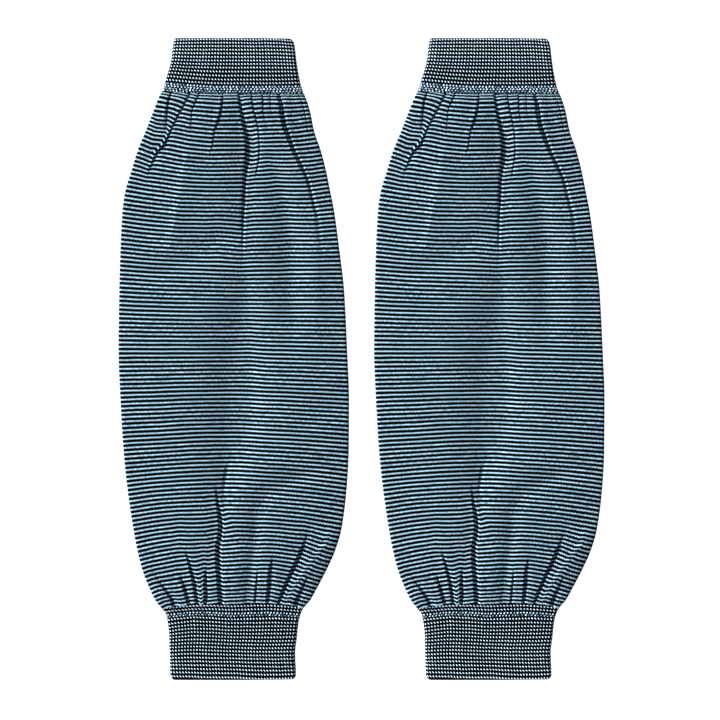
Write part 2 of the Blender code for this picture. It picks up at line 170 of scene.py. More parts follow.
# From left to right, each from the upper seam to the lower one
CREASES = {
    "far left": (
        Section(34.6, -38.5, 0.3, -0.7, 0.0, 0.8, 1.0, 0.6, 0.0, -0.4),
        Section(38.6, -40.0, 0.5, -0.8, -0.1, 0.8, 1.1, 0.6, 0.0, -0.4),
        Section(44.5, -40.9, 0.5, -0.5, -0.2, 0.7, 1.0, 0.6, 0.0, -0.3),
        Section(53.0, -41.4, 0.3, -0.3, -0.1, 0.6, 1.0, 0.4),
        Section(60.0, -43.0),
        Section(72.0, -52.0),
        Section(84.6, -58.8),
        Section(195.0, -62.0),
        Section(300.0, -55.7),
        Section(325.0, -51.5),
        Section(337.0, -46.5, 0.2, -0.3, -0.1, 1.2, 1.4),
        Section(343.0, -42.6, 0.5, -0.8, -0.3, 1.2, 1.8),
        Section(348.5, -39.0, 0.4, -1.3, -0.5, 1.0, 2.4),
        Section(352.6, -37.0, 0.3, -1.4, -0.5, 0.9, 2.6),
    ),
    "left": (
        Section(34.6, -26.6, 0.3, -0.6, -0.1, 0.5, 0.8, 2.0, -0.4, -0.7),
        Section(43.6, -31.4, 0.4, -0.5, -0.1, 0.4, 0.8, 2.0, -0.4, -0.7),
        Section(55.0, -37.6, 0.5, -0.5, -0.1, 0.4, 0.9, 2.0, -0.4, -0.7),
        Section(65.8, -42.9, 0.8, -1.0, -0.2, 0.7, 1.8, 2.0, -0.4, -0.7),
        Section(71.2, -47.4, 0.7, -1.0, -0.2, 0.8, 2.0, 1.8, -0.2, -0.5),
        Section(78.0, -50.2, 0.4, -0.4, -0.1, 0.7, 1.8, 1.2),
        Section(85.0, -52.5, 0.1, -0.1, 0.0, 1.0, 1.8, 0.4),
        Section(96.0, -54.5),
        Section(195.0, -52.0),
        Section(300.0, -42.5),
        Section(333.0, -32.6),
        Section(338.0, -31.4, 0.4, -0.7, -0.2, 0.9, 1.4, 0.5),
        Section(343.9, -29.8, 0.7, -1.4, -0.3, 1.0, 1.8, 0.5),
        Section(352.6, -27.4, 0.5, -1.5, -0.3, 1.0, 1.8, 0.5),
    ),
    "inner left": (
        Section(34.6, -20.6, 0.3, -0.6, 0.0, 0.7, 0.9, 0.6, 0.0, -0.3),
        Section(40.0, -23.2, 0.4, -0.5, -0.1, 0.6, 0.9, 0.6, 0.0, -0.3),
        Section(45.0, -25.0, 0.3, -0.3, 0.0, 0.6, 0.9, 0.4),
        Section(56.0, -26.0, 0.2, -0.1, 0.0, 0.8, 1.2, 0.2),
        Section(62.0, -26.4),
        Section(70.0, -27.7),
        Section(90.0, -31.5),
        Section(110.0, -35.3),
        Section(128.0, -38.9),
        Section(195.0, -40.0),
        Section(290.0, -33.0),
        Section(312.0, -30.5),
        Section(319.0, -29.2),
        Section(324.0, -28.0, 0.5, -0.9, -0.1, 0.9, 1.4, -1.2, 0.0, 0.3),
        Section(330.0, -26.4, 0.6, -1.3, -0.2, 0.9, 1.6, -1.4, 0.0, 0.3),
        Section(338.0, -24.4, 0.6, -1.6, -0.2, 1.1, 1.9, -1.4, 0.0, 0.3),
        Section(352.6, -22.2, 0.4, -1.6, -0.2, 1.1, 1.8, -1.4, 0.0, 0.3),
    ),
    "left of the middle": (
        Section(34.6, -5.9, 0.1, -0.1, 0.0, 0.6, 0.8, 0.3),
        Section(38.0, -6.3, 0.5, -0.6, 0.0, 0.6, 1.0, 0.6),
        Section(45.0, -7.2, 0.7, -0.8, 0.0, 0.8, 1.2, 0.6),
        Section(53.0, -9.6, 0.7, -0.8, 0.0, 0.7, 1.2, 0.6),
        Section(58.6, -11.4, 0.4, -0.4, 0.0, 0.5, 1.0, 0.6),
        Section(68.5, -12.9, 0.3, -0.2, 0.0, 0.5, 1.0, 0.4),
        Section(75.0, -14.6),
        Section(90.0, -17.5),
        Section(195.0, -20.2),
        Section(300.0, -18.4),
        Section(328.0, -16.0),
        Section(335.0, -16.4, 0.4, -0.7, -0.1, 1.6, 1.6, -0.3),
        Section(341.0, -16.6, 0.6, -1.3, -0.1, 1.6, 1.7, -0.3),
        Section(346.0, -16.4, 0.6, -1.5, -0.2, 1.6, 1.8, -0.3),
        Section(352.6, -16.7, 0.4, -1.4, -0.2, 1.4, 1.6, -0.3),
    ),
    "middle": (
        Section(34.6, 3.6, 0.2, -1.1, -0.4, 0.7, 1.1, -1.0),
        Section(45.3, 5.2, 0.3, -1.3, -0.6, 0.9, 1.4, -1.0),
        Section(55.0, 7.4, 0.4, -1.2, -0.5, 1.4, 2.4, -1.0),
        Section(66.5, 9.5, 0.4, -1.2, -0.5, 2.0, 3.2, -1.3),
        Section(76.0, 9.2, 0.4, -1.3, -0.4, 2.0, 2.8, -1.3),
        Section(82.0, 8.4, 0.2, -1.5, -0.2, 1.5, 1.9, -1.3),
        Section(90.0, 7.7, 0.2, -1.7, 0.2, 1.5, 1.4, -1.0),
        Section(101.0, 7.4, 0.1, -1.7, 0.3, 1.5, 1.4, -0.8),
        Section(114.0, 6.6, 0.1, -1.3, 0.3, 1.3, 1.3, -0.7),
        Section(123.0, 6.5, 0.0, -0.7, 0.2, 1.2, 1.2, -0.5),
        Section(131.0, 6.6, 0.0, -0.3, 0.1, 1.2, 1.2, -0.3),
        Section(150.0, 5.5),
        Section(195.0, 0.5),
        Section(255.0, -7.0),
        Section(278.0, -10.0),
        Section(284.0, -9.8, 0.2, -0.5, 0.0, 1.2, 1.4, -0.4),
        Section(290.0, -9.2, 0.4, -1.0, 0.1, 1.4, 1.6, -0.8),
        Section(297.0, -7.9, 0.5, -1.6, 0.1, 1.7, 1.9, -1.8),
        Section(303.0, -7.2, 0.5, -1.7, 0.2, 2.0, 2.1, -2.1),
        Section(311.0, -7.8, 0.5, -1.6, 0.2, 1.9, 2.1, -2.2),
        Section(317.0, -9.0, 0.5, -1.6, 0.2, 1.9, 2.3, -2.2),
        Section(326.0, -8.9, 0.5, -1.8, 0.2, 2.1, 2.4, -1.8),
        Section(337.0, -8.1, 0.5, -1.8, 0.2, 2.0, 2.4, -1.2),
        Section(352.6, -7.2, 0.4, -1.7, 0.1, 1.9, 2.2, -1.2),
    ),
    "right of the middle": (
        Section(34.6, 11.8, 0.1, -0.7, -0.1, 0.6, 0.8, -0.5),
        Section(41.7, 12.7, 0.2, -0.8, -0.1, 0.6, 0.8, -0.5),
        Section(51.5, 14.9, 0.2, -0.7, -0.1, 0.5, 0.8, -0.4),
        Section(59.6, 16.3, 0.1, -1.0, -0.1, 0.6, 0.8, -0.2),
        Section(70.0, 16.7, 0.1, -1.3, -0.1, 0.7, 0.8, 0.2),
        Section(79.0, 15.8, 0.1, -1.1, -0.1, 0.7, 0.8, 0.3),
        Section(84.5, 14.8, 0.1, -0.2, 0.0, 0.8, 1.0, 0.2),
        Section(92.0, 14.5),
        Section(135.0, 13.0),
        Section(171.0, 11.0),
        Section(196.0, 9.2),
        Section(210.0, 8.0),
        Section(233.0, 5.6),
        Section(251.0, 2.0),
        Section(258.0, 0.2, 0.1, -0.2, 0.1, 1.6, 1.6),
        Section(264.0, -1.8, 0.1, -0.8, 0.2, 2.2, 1.8),
        Section(271.0, -3.6, 0.1, -1.0, 0.2, 2.4, 1.8),
        Section(277.0, -4.8, 0.1, -0.8, 0.2, 2.2, 1.6),
        Section(283.0, -5.2, 0.0, -0.4, 0.1, 1.8, 1.4),
        Section(291.0, -3.5),
        Section(317.0, 6.5),
        Section(335.0, 8.4),
        Section(352.6, 8.4, 0.1, -0.2, 0.0, 1.4, 1.4, 0.3),
    ),
    "inner right": (
        Section(34.6, 18.7, 0.2, -0.6, -0.1, 0.7, 0.8, -0.3),
        Section(40.0, 18.8, 0.4, -0.7, -0.1, 0.6, 0.8, -0.3),
        Section(45.0, 18.9, 0.3, -0.3, -0.1, 0.6, 0.8, -0.2),
        Section(52.0, 20.6, 0.1, -0.1, 0.0, 0.8, 1.0),
        Section(60.0, 22.0),
        Section(84.6, 24.5),
        Section(195.0, 24.0),
        Section(290.0, 17.5),
        Section(325.0, 16.5),
        Section(333.0, 15.9, 0.3, -0.2, 0.0, 1.2, 1.2, 0.2),
        Section(342.0, 14.8, 0.5, -1.0, -0.1, 1.0, 1.2, 0.3),
        Section(352.6, 13.8, 0.4, -1.3, -0.2, 0.9, 1.2, 0.3),
    ),
    "short right": (
        Section(34.6, 23.5, 0.1, -0.2, 0.0, 0.7, 0.8),
        Section(42.0, 23.7, 0.2, -0.2, 0.0, 0.6, 0.8),
        Section(52.0, 26.0),
        Section(84.6, 32.1),
        Section(195.0, 40.0),
        Section(290.0, 31.0),
        Section(314.0, 27.2),
        Section(324.0, 25.4),
        Section(327.0, 24.5, 0.4, -0.5, -0.1, 1.2, 1.6, 0.4),
        Section(332.0, 23.4, 0.6, -1.2, -0.3, 1.4, 1.8, 0.6, 0.3),
        Section(342.0, 22.7, 0.6, -1.5, -0.4, 1.5, 2.0, 0.6, 0.3),
        Section(352.6, 21.6, 0.4, -1.2, -0.2, 1.2, 1.6, 0.6, 0.3),
    ),
    "right": (
        Section(34.6, 29.2, 0.2, -1.2, 0.2, 2.2, 0.8, 0.3),
        Section(41.0, 31.2, 0.5, -1.7, 0.4, 3.0, 0.9, 0.3),
        Section(52.5, 33.0, 0.5, -1.8, 0.5, 3.2, 0.9, 0.3),
        Section(60.5, 35.7, 0.5, -1.8, 0.5, 3.2, 0.9, 0.3),
        Section(69.5, 38.9, 0.4, -1.6, 0.4, 3.0, 0.9, 0.3),
        Section(78.3, 43.2, 0.3, -1.4, 0.3, 2.8, 0.9, 0.3),
        Section(88.0, 47.4, 0.1, -1.1, 0.2, 2.6, 1.0, 0.3),
        Section(100.5, 50.5, 0.0, -0.8, 0.0, 2.5, 1.6, 0.2),
        Section(112.0, 53.2, 0.0, -0.6, 0.0, 2.5, 2.0, 0.2),
        Section(127.0, 55.0, 0.0, -0.3, 0.0, 2.5, 2.4, 0.1),
        Section(140.0, 56.0),
        Section(195.0, 57.5),
        Section(270.0, 54.5),
        Section(300.0, 49.6),
        Section(311.0, 46.6, 0.1, -0.1, 0.0, 1.0, 1.4, 0.5),
        Section(316.0, 44.3, 0.5, -0.8, -0.2, 1.2, 1.2, 0.8),
        Section(320.0, 42.6, 0.7, -1.3, -0.3, 1.2, 1.4, 0.9),
        Section(328.0, 39.2, 0.7, -1.5, -0.3, 1.3, 1.5, 0.9),
        Section(336.0, 35.3, 0.6, -1.5, -0.3, 1.2, 1.4, 0.9),
        Section(346.0, 30.9, 0.6, -1.3, -0.3, 1.1, 1.2, 0.9),
        Section(352.6, 28.5, 0.4, -1.1, -0.2, 0.9, 1.0, 0.9),
    ),
    "outer right": (
        Section(34.6, 37.0),
        Section(60.0, 42.0),
        Section(84.6, 50.0),
        Section(112.0, 56.6),
        Section(127.0, 58.7),
        Section(140.0, 60.0),
        Section(195.0, 63.0),
        Section(270.0, 62.8),
        Section(300.0, 60.2),
        Section(309.0, 59.2, 0.0, 0.0, 0.0, 1.6, 1.2, 0.5),
        Section(317.0, 56.0, 0.0, 0.0, 0.0, 1.6, 1.2, 0.9),
        Section(326.0, 49.2, 0.0, 0.0, 0.0, 1.6, 2.0, 0.9),
        Section(336.0, 42.2, 0.0, 0.0, 0.0, 1.5, 2.0, 0.9),
        Section(346.0, 35.9, 0.0, 0.0, 0.0, 1.2, 1.6, 0.9),
        Section(352.6, 33.2, 0.0, 0.0, 0.0, 1.0, 1.2, 0.6),
    ),
    "far right": (
        Section(34.6, 41.0, 0.1, -0.2, 0.1, 0.6, 0.7),
        Section(40.0, 43.6, 0.1, -0.2, 0.1, 0.6, 0.7),
        Section(50.0, 45.9, 0.1, -0.2, 0.1, 0.6, 0.7),
        Section(56.0, 46.9, 0.1, -0.2, 0.1, 0.7, 0.8),
        Section(62.0, 48.2),
        Section(84.6, 54.0),
        Section(112.0, 59.3),
        Section(127.0, 61.3),
        Section(140.0, 62.8),
        Section(195.0, 66.6),
        Section(270.0, 66.8),
        Section(300.0, 64.4),
        Section(320.0, 59.6),
        Section(332.0, 52.0),
        Section(339.0, 45.8, 0.2, -0.2, 0.0, 1.0, 1.2),
        Section(345.0, 42.6, 0.4, -0.9, -0.2, 1.2, 1.6),
        Section(352.6, 39.4, 0.4, -1.4, -0.3, 1.2, 2.0),
    ),
}


class Crest(NamedTuple):
    """A broad ridge or hollow of the front at a distance down the sleeve, in millimetres.

    place is its line across the sleeve, rise its height there, below nought in a hollow, and the
    runs are how far it reaches on both sides.
    """

    down: float
    place: float
    rise: float
    left_run: float
    right_run: float


SWELLS = {
    "middle valley": (
        Crest(128.0, 7.5, 0.0, 5.0, 4.0),
        Crest(145.0, 8.2, -1.3, 9.0, 6.0),
        Crest(163.0, 8.0, -2.4, 13.0, 9.0),
        Crest(196.0, 6.6, -4.0, 16.0, 11.0),
        Crest(222.0, 6.2, -4.4, 17.0, 11.0),
        Crest(238.0, 4.5, -4.4, 17.0, 11.0),
        Crest(251.5, 2.2, -4.1, 16.0, 11.0),
        Crest(264.0, -1.0, -3.3, 13.0, 10.0),
        Crest(277.0, -4.0, -2.8, 10.0, 9.0),
        Crest(290.0, -6.0, -1.9, 8.0, 7.0),
        Crest(302.0, -6.6, -1.5, 6.0, 6.0),
        Crest(322.0, -8.0, -0.8, 5.0, 6.0),
        Crest(340.0, -8.0, 0.0, 4.0, 4.0),
    ),
    "upper middle hollow": (
        Crest(36.0, 3.6, 0.0, 6.0, 6.0),
        Crest(48.0, 5.8, -1.1, 9.0, 8.0),
        Crest(62.0, 8.8, -1.7, 11.0, 9.0),
        Crest(80.0, 8.6, -1.7, 11.0, 9.0),
        Crest(100.0, 7.4, -1.4, 11.0, 8.0),
        Crest(120.0, 6.5, -0.9, 10.0, 7.0),
        Crest(136.0, 6.5, 0.0, 9.0, 6.0),
    ),
    "between the middle creases": (
        Crest(48.0, 9.0, 0.0, 2.5, 2.0),
        Crest(56.0, 12.6, -0.6, 3.0, 2.2),
        Crest(66.0, 14.0, -0.8, 3.0, 2.2),
        Crest(76.0, 13.4, -0.8, 3.0, 2.2),
        Crest(84.0, 12.0, 0.0, 3.0, 2.5),
    ),
    "left ridge": (
        Crest(56.0, -26.0, 0.0, 2.0, 7.0),
        Crest(70.0, -27.7, 0.5, 2.0, 7.0),
        Crest(90.0, -31.5, 0.7, 2.0, 7.0),
        Crest(110.0, -35.3, 0.9, 2.0, 7.0),
        Crest(125.0, -38.3, 0.8, 2.0, 7.0),
        Crest(138.0, -41.0, 0.0, 2.0, 7.0),
    ),
    "right hollow": (
        Crest(62.0, 23.0, 0.0, 7.0, 6.0),
        Crest(82.0, 27.0, -1.4, 8.0, 6.0),
        Crest(107.0, 33.3, -1.9, 9.0, 7.0),
        Crest(140.0, 36.0, -2.0, 9.0, 8.0),
        Crest(170.0, 36.6, -1.6, 9.0, 8.0),
        Crest(195.0, 37.0, -0.7, 9.0, 8.0),
        Crest(212.0, 37.0, 0.0, 9.0, 8.0),
    ),
    "right ridge": (
        Crest(108.0, 49.5, 0.0, 8.0, 5.0),
        Crest(125.0, 50.5, 0.5, 8.0, 5.0),
        Crest(150.0, 51.5, 0.9, 8.0, 5.0),
        Crest(175.0, 52.0, 0.6, 8.0, 6.0),
        Crest(202.0, 52.0, 0.0, 8.0, 6.0),
    ),
    "lower right hollow": (
        Crest(266.0, 54.0, 0.0, 8.0, 8.0),
        Crest(272.0, 44.0, -1.2, 10.0, 10.0),
        Crest(281.0, 28.0, -1.5, 10.0, 9.0),
        Crest(289.0, 18.0, -1.5, 7.0, 7.0),
        Crest(297.0, 15.6, -1.4, 6.0, 5.0),
        Crest(311.0, 14.4, -1.4, 5.0, 4.0),
        Crest(328.0, 12.0, -1.4, 4.0, 3.0),
        Crest(350.0, 10.8, -0.8, 3.0, 3.0),
    ),
    "lower right ridge": (
        Crest(304.0, 61.0, 0.0, 2.0, 9.0),
        Crest(313.0, 58.8, 0.7, 1.6, 12.0),
        Crest(326.0, 49.2, 0.8, 1.5, 12.0),
        Crest(336.0, 42.2, 0.8, 1.3, 12.0),
        Crest(346.0, 35.9, 0.6, 1.0, 10.0),
        Crest(352.6, 33.2, 0.2, 0.8, 9.0),
    ),
    "foot of the right crease": (
        Crest(298.0, 50.0, 0.0, 3.0, 7.0),
        Crest(310.0, 46.6, -0.3, 2.0, 4.0),
        Crest(320.0, 42.6, -0.4, 2.0, 4.0),
        Crest(328.0, 39.2, -0.5, 2.0, 4.0),
        Crest(336.0, 35.3, -0.5, 2.0, 4.0),
        Crest(346.0, 30.9, -0.5, 1.5, 3.0),
        Crest(352.6, 28.5, -0.3, 1.5, 3.0),
    ),
    "upper left hollow": (
        Crest(112.0, -3.0, 0.0, 10.0, 10.0),
        Crest(120.0, -6.5, -0.8, 10.0, 10.0),
        Crest(130.0, -14.0, -1.2, 10.0, 12.0),
        Crest(138.0, -27.0, -1.2, 12.0, 12.0),
        Crest(146.0, -42.0, -0.8, 12.0, 12.0),
        Crest(153.0, -52.0, 0.0, 12.0, 12.0),
    ),
}

# The same for the stripes: how far below their courses they dip, in millimetres
RIPPLES = {
    "beside the far left crease": (
        Crest(36.0, -45.0, 0.0, 4.0, 3.0),
        Crest(44.0, -47.5, 0.7, 4.0, 4.0),
        Crest(54.0, -47.0, 0.9, 4.0, 4.0),
        Crest(63.0, -50.0, 0.9, 4.0, 4.0),
        Crest(74.0, -52.0, 0.9, 4.0, 4.0),
        Crest(84.0, -53.0, 0.4, 5.0, 5.0),
        Crest(98.0, -54.0, 0.0, 5.0, 5.0),
    ),
    "right hollow": (
        Crest(66.0, 21.0, 0.0, 3.0, 4.0),
        Crest(78.0, 22.0, -0.7, 4.0, 5.0),
        Crest(88.0, 27.0, -0.8, 5.0, 6.0),
        Crest(100.0, 31.0, -0.7, 6.0, 6.0),
        Crest(115.0, 34.0, -0.6, 6.0, 6.0),
        Crest(140.0, 36.0, -0.3, 6.0, 6.0),
        Crest(152.0, 36.0, 0.0, 6.0, 6.0),
    ),
    "under the middle crease": (
        Crest(97.0, 4.5, 0.0, 4.0, 4.0),
        Crest(112.0, 4.5, 0.5, 4.0, 5.0),
        Crest(126.0, 4.5, 0.6, 4.0, 5.0),
        Crest(140.0, 4.0, 0.5, 5.0, 5.0),
        Crest(152.0, 4.0, 0.0, 5.0, 5.0),
    ),
    "upper left": (
        Crest(80.0, -33.0, 0.0, 5.0, 5.0),
        Crest(100.0, -32.5, 0.4, 5.0, 5.0),
        Crest(112.0, -32.5, 0.4, 5.0, 5.0),
        Crest(126.0, -34.0, 0.3, 5.0, 5.0),
        Crest(142.0, -34.0, 0.0, 5.0, 5.0),
    ),
    "left of the middle crease": (
        Crest(98.0, -8.5, 0.0, 5.0, 5.0),
        Crest(114.0, -8.5, -0.4, 6.0, 5.0),
        Crest(128.0, -9.0, -0.4, 6.0, 5.0),
        Crest(146.0, -9.0, 0.0, 6.0, 5.0),
    ),
    "upper right side": (
        Crest(66.0, 50.0, 0.0, 5.0, 5.0),
        Crest(84.0, 49.0, 0.3, 5.0, 5.0),
        Crest(110.0, 52.0, 0.3, 5.0, 5.0),
        Crest(140.0, 52.0, 0.0, 5.0, 5.0),
    ),
    "right of the waist": (
        Crest(165.0, 10.0, 0.0, 6.0, 6.0),
        Crest(186.0, 10.0, -0.4, 6.0, 6.0),
        Crest(205.0, 11.0, -0.4, 6.0, 6.0),
        Crest(228.0, 11.0, 0.0, 6.0, 6.0),
    ),
    "lower right of the middle": (
        Crest(290.0, 14.0, 0.0, 5.0, 5.0),
        Crest(306.0, 14.6, 0.5, 5.0, 5.0),
        Crest(318.0, 14.6, 0.8, 5.0, 5.0),
        Crest(336.0, 14.6, 0.8, 5.0, 5.0),
        Crest(352.6, 14.0, 0.2, 5.0, 5.0),
    ),
    "lower right side": (
        Crest(296.0, 45.0, 0.0, 4.0, 4.0),
        Crest(308.0, 44.6, -0.6, 4.0, 4.0),
        Crest(318.0, 44.6, -0.6, 4.0, 5.0),
        Crest(332.0, 42.0, -0.6, 4.0, 6.0),
        Crest(352.6, 36.0, -0.2, 4.0, 6.0),
    ),
    "lower left side": (
        Crest(290.0, -33.0, 0.0, 4.0, 4.0),
        Crest(305.0, -33.0, -0.5, 4.0, 4.0),
        Crest(318.0, -34.0, -0.5, 4.0, 3.0),
        Crest(340.0, -35.0, 0.0, 4.0, 3.0),
    ),
    "lower left of the middle": (
        Crest(312.0, -18.4, 0.0, 3.0, 2.0),
        Crest(325.0, -18.4, -0.6, 3.0, 2.0),
        Crest(344.0, -18.4, -0.6, 3.0, 2.0),
        Crest(352.6, -18.4, -0.2, 3.0, 2.0),
    ),
}


class Panel(NamedTuple):
    """Cloth between two creases, in millimetres: how far it swells and its stripes sag at each seam."""

    upper_crown: float
    upper_sag: float
    lower_crown: float
    lower_sag: float


PANELS = (
    Panel(0.2, 0.0, 0.2, -0.4),
    Panel(0.2, 0.0, 0.2, 0.6),
    Panel(0.4, 0.0, 0.2, 0.0),
    Panel(0.3, 0.0, 0.4, 0.9),
    Panel(0.3, 0.0, 0.2, 0.0),
    Panel(0.2, 0.0, 0.3, 0.0),
    Panel(0.2, 0.0, 0.2, 0.0),
    Panel(0.2, 0.0, 0.2, 0.0),
    Panel(0.2, 0.0, 0.3, 0.0),
    Panel(0.3, 0.0, 0.3, 0.0),
    Panel(0.1, 0.0, 0.2, 0.0),
    Panel(0.1, 0.0, 0.1, 0.0),
)


class Drift(NamedTuple):
    """How far below a plain course the stripes lie at shares of the way across, in millimetres."""

    down: float
    left: float
    left_outer: float
    left_inner: float
    middle: float
    right_inner: float
    right_outer: float
    right: float


DRIFT_SHARES = (-1.0, -0.67, -0.33, 0.0, 0.33, 0.67, 1.0)
UPPER_CUFF_DRIFTS = (
    Drift(0.0, 0.4, -0.1, -0.2, -0.2, 0.1, -0.2, 0.5),
    Drift(11.8, 0.0, 0.0, -0.15, -0.2, -0.2, -0.25, -0.1),
    Drift(16.8, 0.0, 0.0, -0.15, -0.2, -0.25, -0.3, -0.25),
    Drift(26.8, -0.65, -0.35, 0.0, 0.05, 0.0, 0.0, -0.45),
    Drift(34.6, -0.65, -0.4, 0.0, 0.05, 0.0, 0.0, -0.45),
)
LOWER_CUFF_DRIFTS = (
    Drift(352.6, -1.2, -0.8, -0.1, 0.6, -0.15, -0.7, -0.7),
    Drift(358.9, -1.2, -1.3, -0.35, 0.6, 0.0, -0.6, -0.6),
    Drift(363.2, -0.3, -0.7, 0.25, 1.1, 0.85, 0.3, -0.1),
    Drift(370.1, 0.4, -0.1, 0.6, 1.5, 1.4, 0.9, 0.4),
    Drift(377.0, 0.4, 0.2, 0.75, 1.4, 1.6, 1.45, 1.0),
    Drift(383.8, 0.35, 0.1, 0.6, 1.05, 1.4, 1.45, 1.2),
    Drift(390.7, -0.1, 0.1, 0.35, 0.6, 1.0, 1.2, 1.1),
    Drift(397.5, -0.5, -0.25, 0.15, 0.25, 0.95, 1.15, 0.8),
    Drift(400.0, -0.5, -0.25, 0.15, 0.25, 0.95, 1.15, 0.8),
)
DRIFTS = (
    Drift(38.6, -1.2, 0.2, 0.8, 0.75, 0.75, 1.0, 0.9),
    Drift(53.6, 0.5, 1.0, 1.0, 0.95, 1.4, 1.2, 0.0),
    Drift(68.5, -0.2, 0.75, 0.95, 0.8, 0.95, 1.2, 0.3),
    Drift(83.5, 0.1, 0.85, 1.05, 0.75, 0.95, 1.3, 0.7),
    Drift(101.0, -0.2, 0.55, 1.05, 1.1, 1.2, 1.4, 0.75),
    Drift(126.0, -0.1, 0.8, 0.9, 1.1, 1.25, 1.2, 1.05),
    Drift(150.8, -0.2, 0.4, 0.65, 1.05, 1.0, 0.8, 0.8),
    Drift(175.7, 0.25, 0.6, 0.75, 0.7, 1.0, 1.0, 0.85),
    Drift(200.6, 0.8, 0.85, 0.8, 0.7, 1.25, 1.3, 1.05),
    Drift(225.5, 1.05, 1.2, 1.0, 0.95, 1.5, 1.6, 1.35),
    Drift(250.5, 1.1, 1.25, 0.8, 0.85, 1.5, 1.6, 1.5),
    Drift(275.4, 1.25, 0.85, 0.8, 0.7, 1.25, 1.45, 1.85),
    Drift(300.3, 1.45, 0.5, 0.85, 0.95, 0.8, 1.2, 1.75),
    Drift(325.2, 1.75, -0.1, 0.15, 0.75, -0.2, 0.0, 1.5),
    Drift(345.2, 1.3, -0.8, 0.0, 0.2, -0.85, -1.0, 0.6),
    Drift(352.6, 1.3, -0.8, -0.3, -0.1, -0.85, -0.9, 0.6),
)

class Tally(NamedTuple):
    """How many rows or stripes the knit has counted at a place along it."""

    place: float
    number: float


# Pale stripes are at whole numbers, counted up the sleeve from its middle. place is down the sleeve
STRIPE_PERIOD = 0.002617
STRIPES = (
    Tally(0.03508, 62),
    Tally(0.03676, 61),
    Tally(0.03875, 60),
    Tally(0.04149, 59),
    Tally(0.04417, 58),
    Tally(0.0511, 55.4),
    Tally(0.0636, 50.7),
    Tally(0.0760, 46.0),
    Tally(0.0885, 41.0),
    Tally(0.1196, 28.8),
    Tally(0.1632, 12.1),
    Tally(0.1944, 0),
    Tally(0.2255, -12.1),
    Tally(0.2567, -23.9),
    Tally(0.2878, -35.6),
    Tally(0.3128, -45.0),
    Tally(0.3252, -49.7),
    Tally(0.3377, -54.4),
    Tally(0.3446, -57),
    Tally(0.3470, -58),
    Tally(0.3493, -59),
    Tally(0.3517, -60),
)

# Rows of pale dots are at whole numbers. place is from a cuff's free edge
UPPER_DOTS = (
    Tally(-0.0010, -1),
    Tally(0.0012, 0),
    Tally(0.0054, 2),
    Tally(0.0122, 5),
    Tally(0.0188, 8),
    Tally(0.0236, 10),
    Tally(0.0260, 11),
    Tally(0.0283, 12),
    Tally(0.0306, 13),
    Tally(0.0320, 14),
    Tally(0.0334, 15),
    Tally(0.0348, 16),
)
LOWER_DOTS = (
    Tally(-0.0010, -1),
    Tally(0.0019, 0),
    Tally(0.0388, 16),
    Tally(0.0406, 17),
    Tally(0.0420, 18),
    Tally(0.0443, 19),
    Tally(0.0465, 20),
    Tally(0.0488, 21),
)


def linear(channel: float) -> float:
    """An sRGB channel as a linear one."""
    return channel / 12.92 if channel <= 0.04045 else ((channel + 0.055) / 1.055) ** 2.4


def smoothstep(low: float, high: float, value: np.ndarray) -> np.ndarray:
    """A smooth step from 0 at low to 1 at high."""
    share = np.clip((value - low) / (high - low), 0, 1)
    return share * share * (3 - 2 * share)


class Side(Enum):
    """Which sleeve of the pair."""

    LEFT = "left"
    RIGHT = "right"

    @property
    def shift(self) -> float:
        """Place of the sleeve's middle line across the pair."""
        return PAIR_SPACING / 2 * (-1 if self is Side.LEFT else 1)


class CuffEnd(Enum):
    """Which cuff of a sleeve."""

    UPPER = "upper"
    LOWER = "lower"


class Hold(Enum):
    """How a sheet of cloth is held."""

    GATHERED = "gathered"
    LAID = "laid"


@dataclass(frozen=True)
class SmoothCurve:
    """A smooth curve through values at rising places, which doesn't overshoot them."""

    places: tuple[float, ...]
    values: tuple[float, ...]

    def __call__(self, at: np.ndarray) -> np.ndarray:
        """Read the curve.

        Args:
            at: Places to read it at.

        Returns:
            A value for each place.
        """
        places, values = np.array(self.places), np.array(self.values)
        at = np.clip(at, places[0], places[-1])
        runs = np.diff(places)
        steps = np.diff(values) / runs
        product = steps[:-1] * steps[1:]
        total = np.where(product > 0, steps[:-1] + steps[1:], 1)
        inner = np.where(product > 0, 2 * product / total, 0)
        tilt = np.concatenate([steps[:1], inner, steps[-1:]])
        i = np.clip(np.searchsorted(places, at, side="right") - 1, 0, len(runs) - 1)
        t = (at - places[i]) / runs[i]
        return (
            (1 + 2 * t) * (1 - t) ** 2 * values[i]
            + t * (1 - t) ** 2 * runs[i] * tilt[i]
            + t * t * (3 - 2 * t) * values[i + 1]
            - t * t * (1 - t) * runs[i] * tilt[i + 1]
        )


def station_curve(column: str) -> SmoothCurve:
    """The curve through one column of the stations."""
    return SmoothCurve(tuple(s.down for s in STATIONS), tuple(getattr(s, column) for s in STATIONS))


def section_curve(rows: tuple[NamedTuple, ...], column: str) -> SmoothCurve:
    """The curve through one column of a table in millimetres, in metres, by distance down the sleeve."""
    return SmoothCurve(tuple(r.down * MM for r in rows), tuple(getattr(r, column) * MM for r in rows))


def tally_curve(rows: tuple[Tally, ...]) -> SmoothCurve:
    """The curve through the numbers of a table of counts."""
    return SmoothCurve(tuple(r.place for r in rows), tuple(r.number for r in rows))


def drift(rows: tuple[Drift, ...], down: np.ndarray, across: np.ndarray) -> np.ndarray:
    """How far below their plain courses the knit's rows lie.

    Args:
        rows: The drifts that apply.
        down: Distances down the sleeve, as a column.
        across: Shares of the way across, with a row for each distance.

    Returns:
        A distance for each share.
    """
    table = np.concatenate([section_curve(rows, name)(down) for name in Drift._fields[1:]], axis=1)
    return np.stack([SmoothCurve(DRIFT_SHARES, tuple(row))(at) for row, at in zip(table, across)])


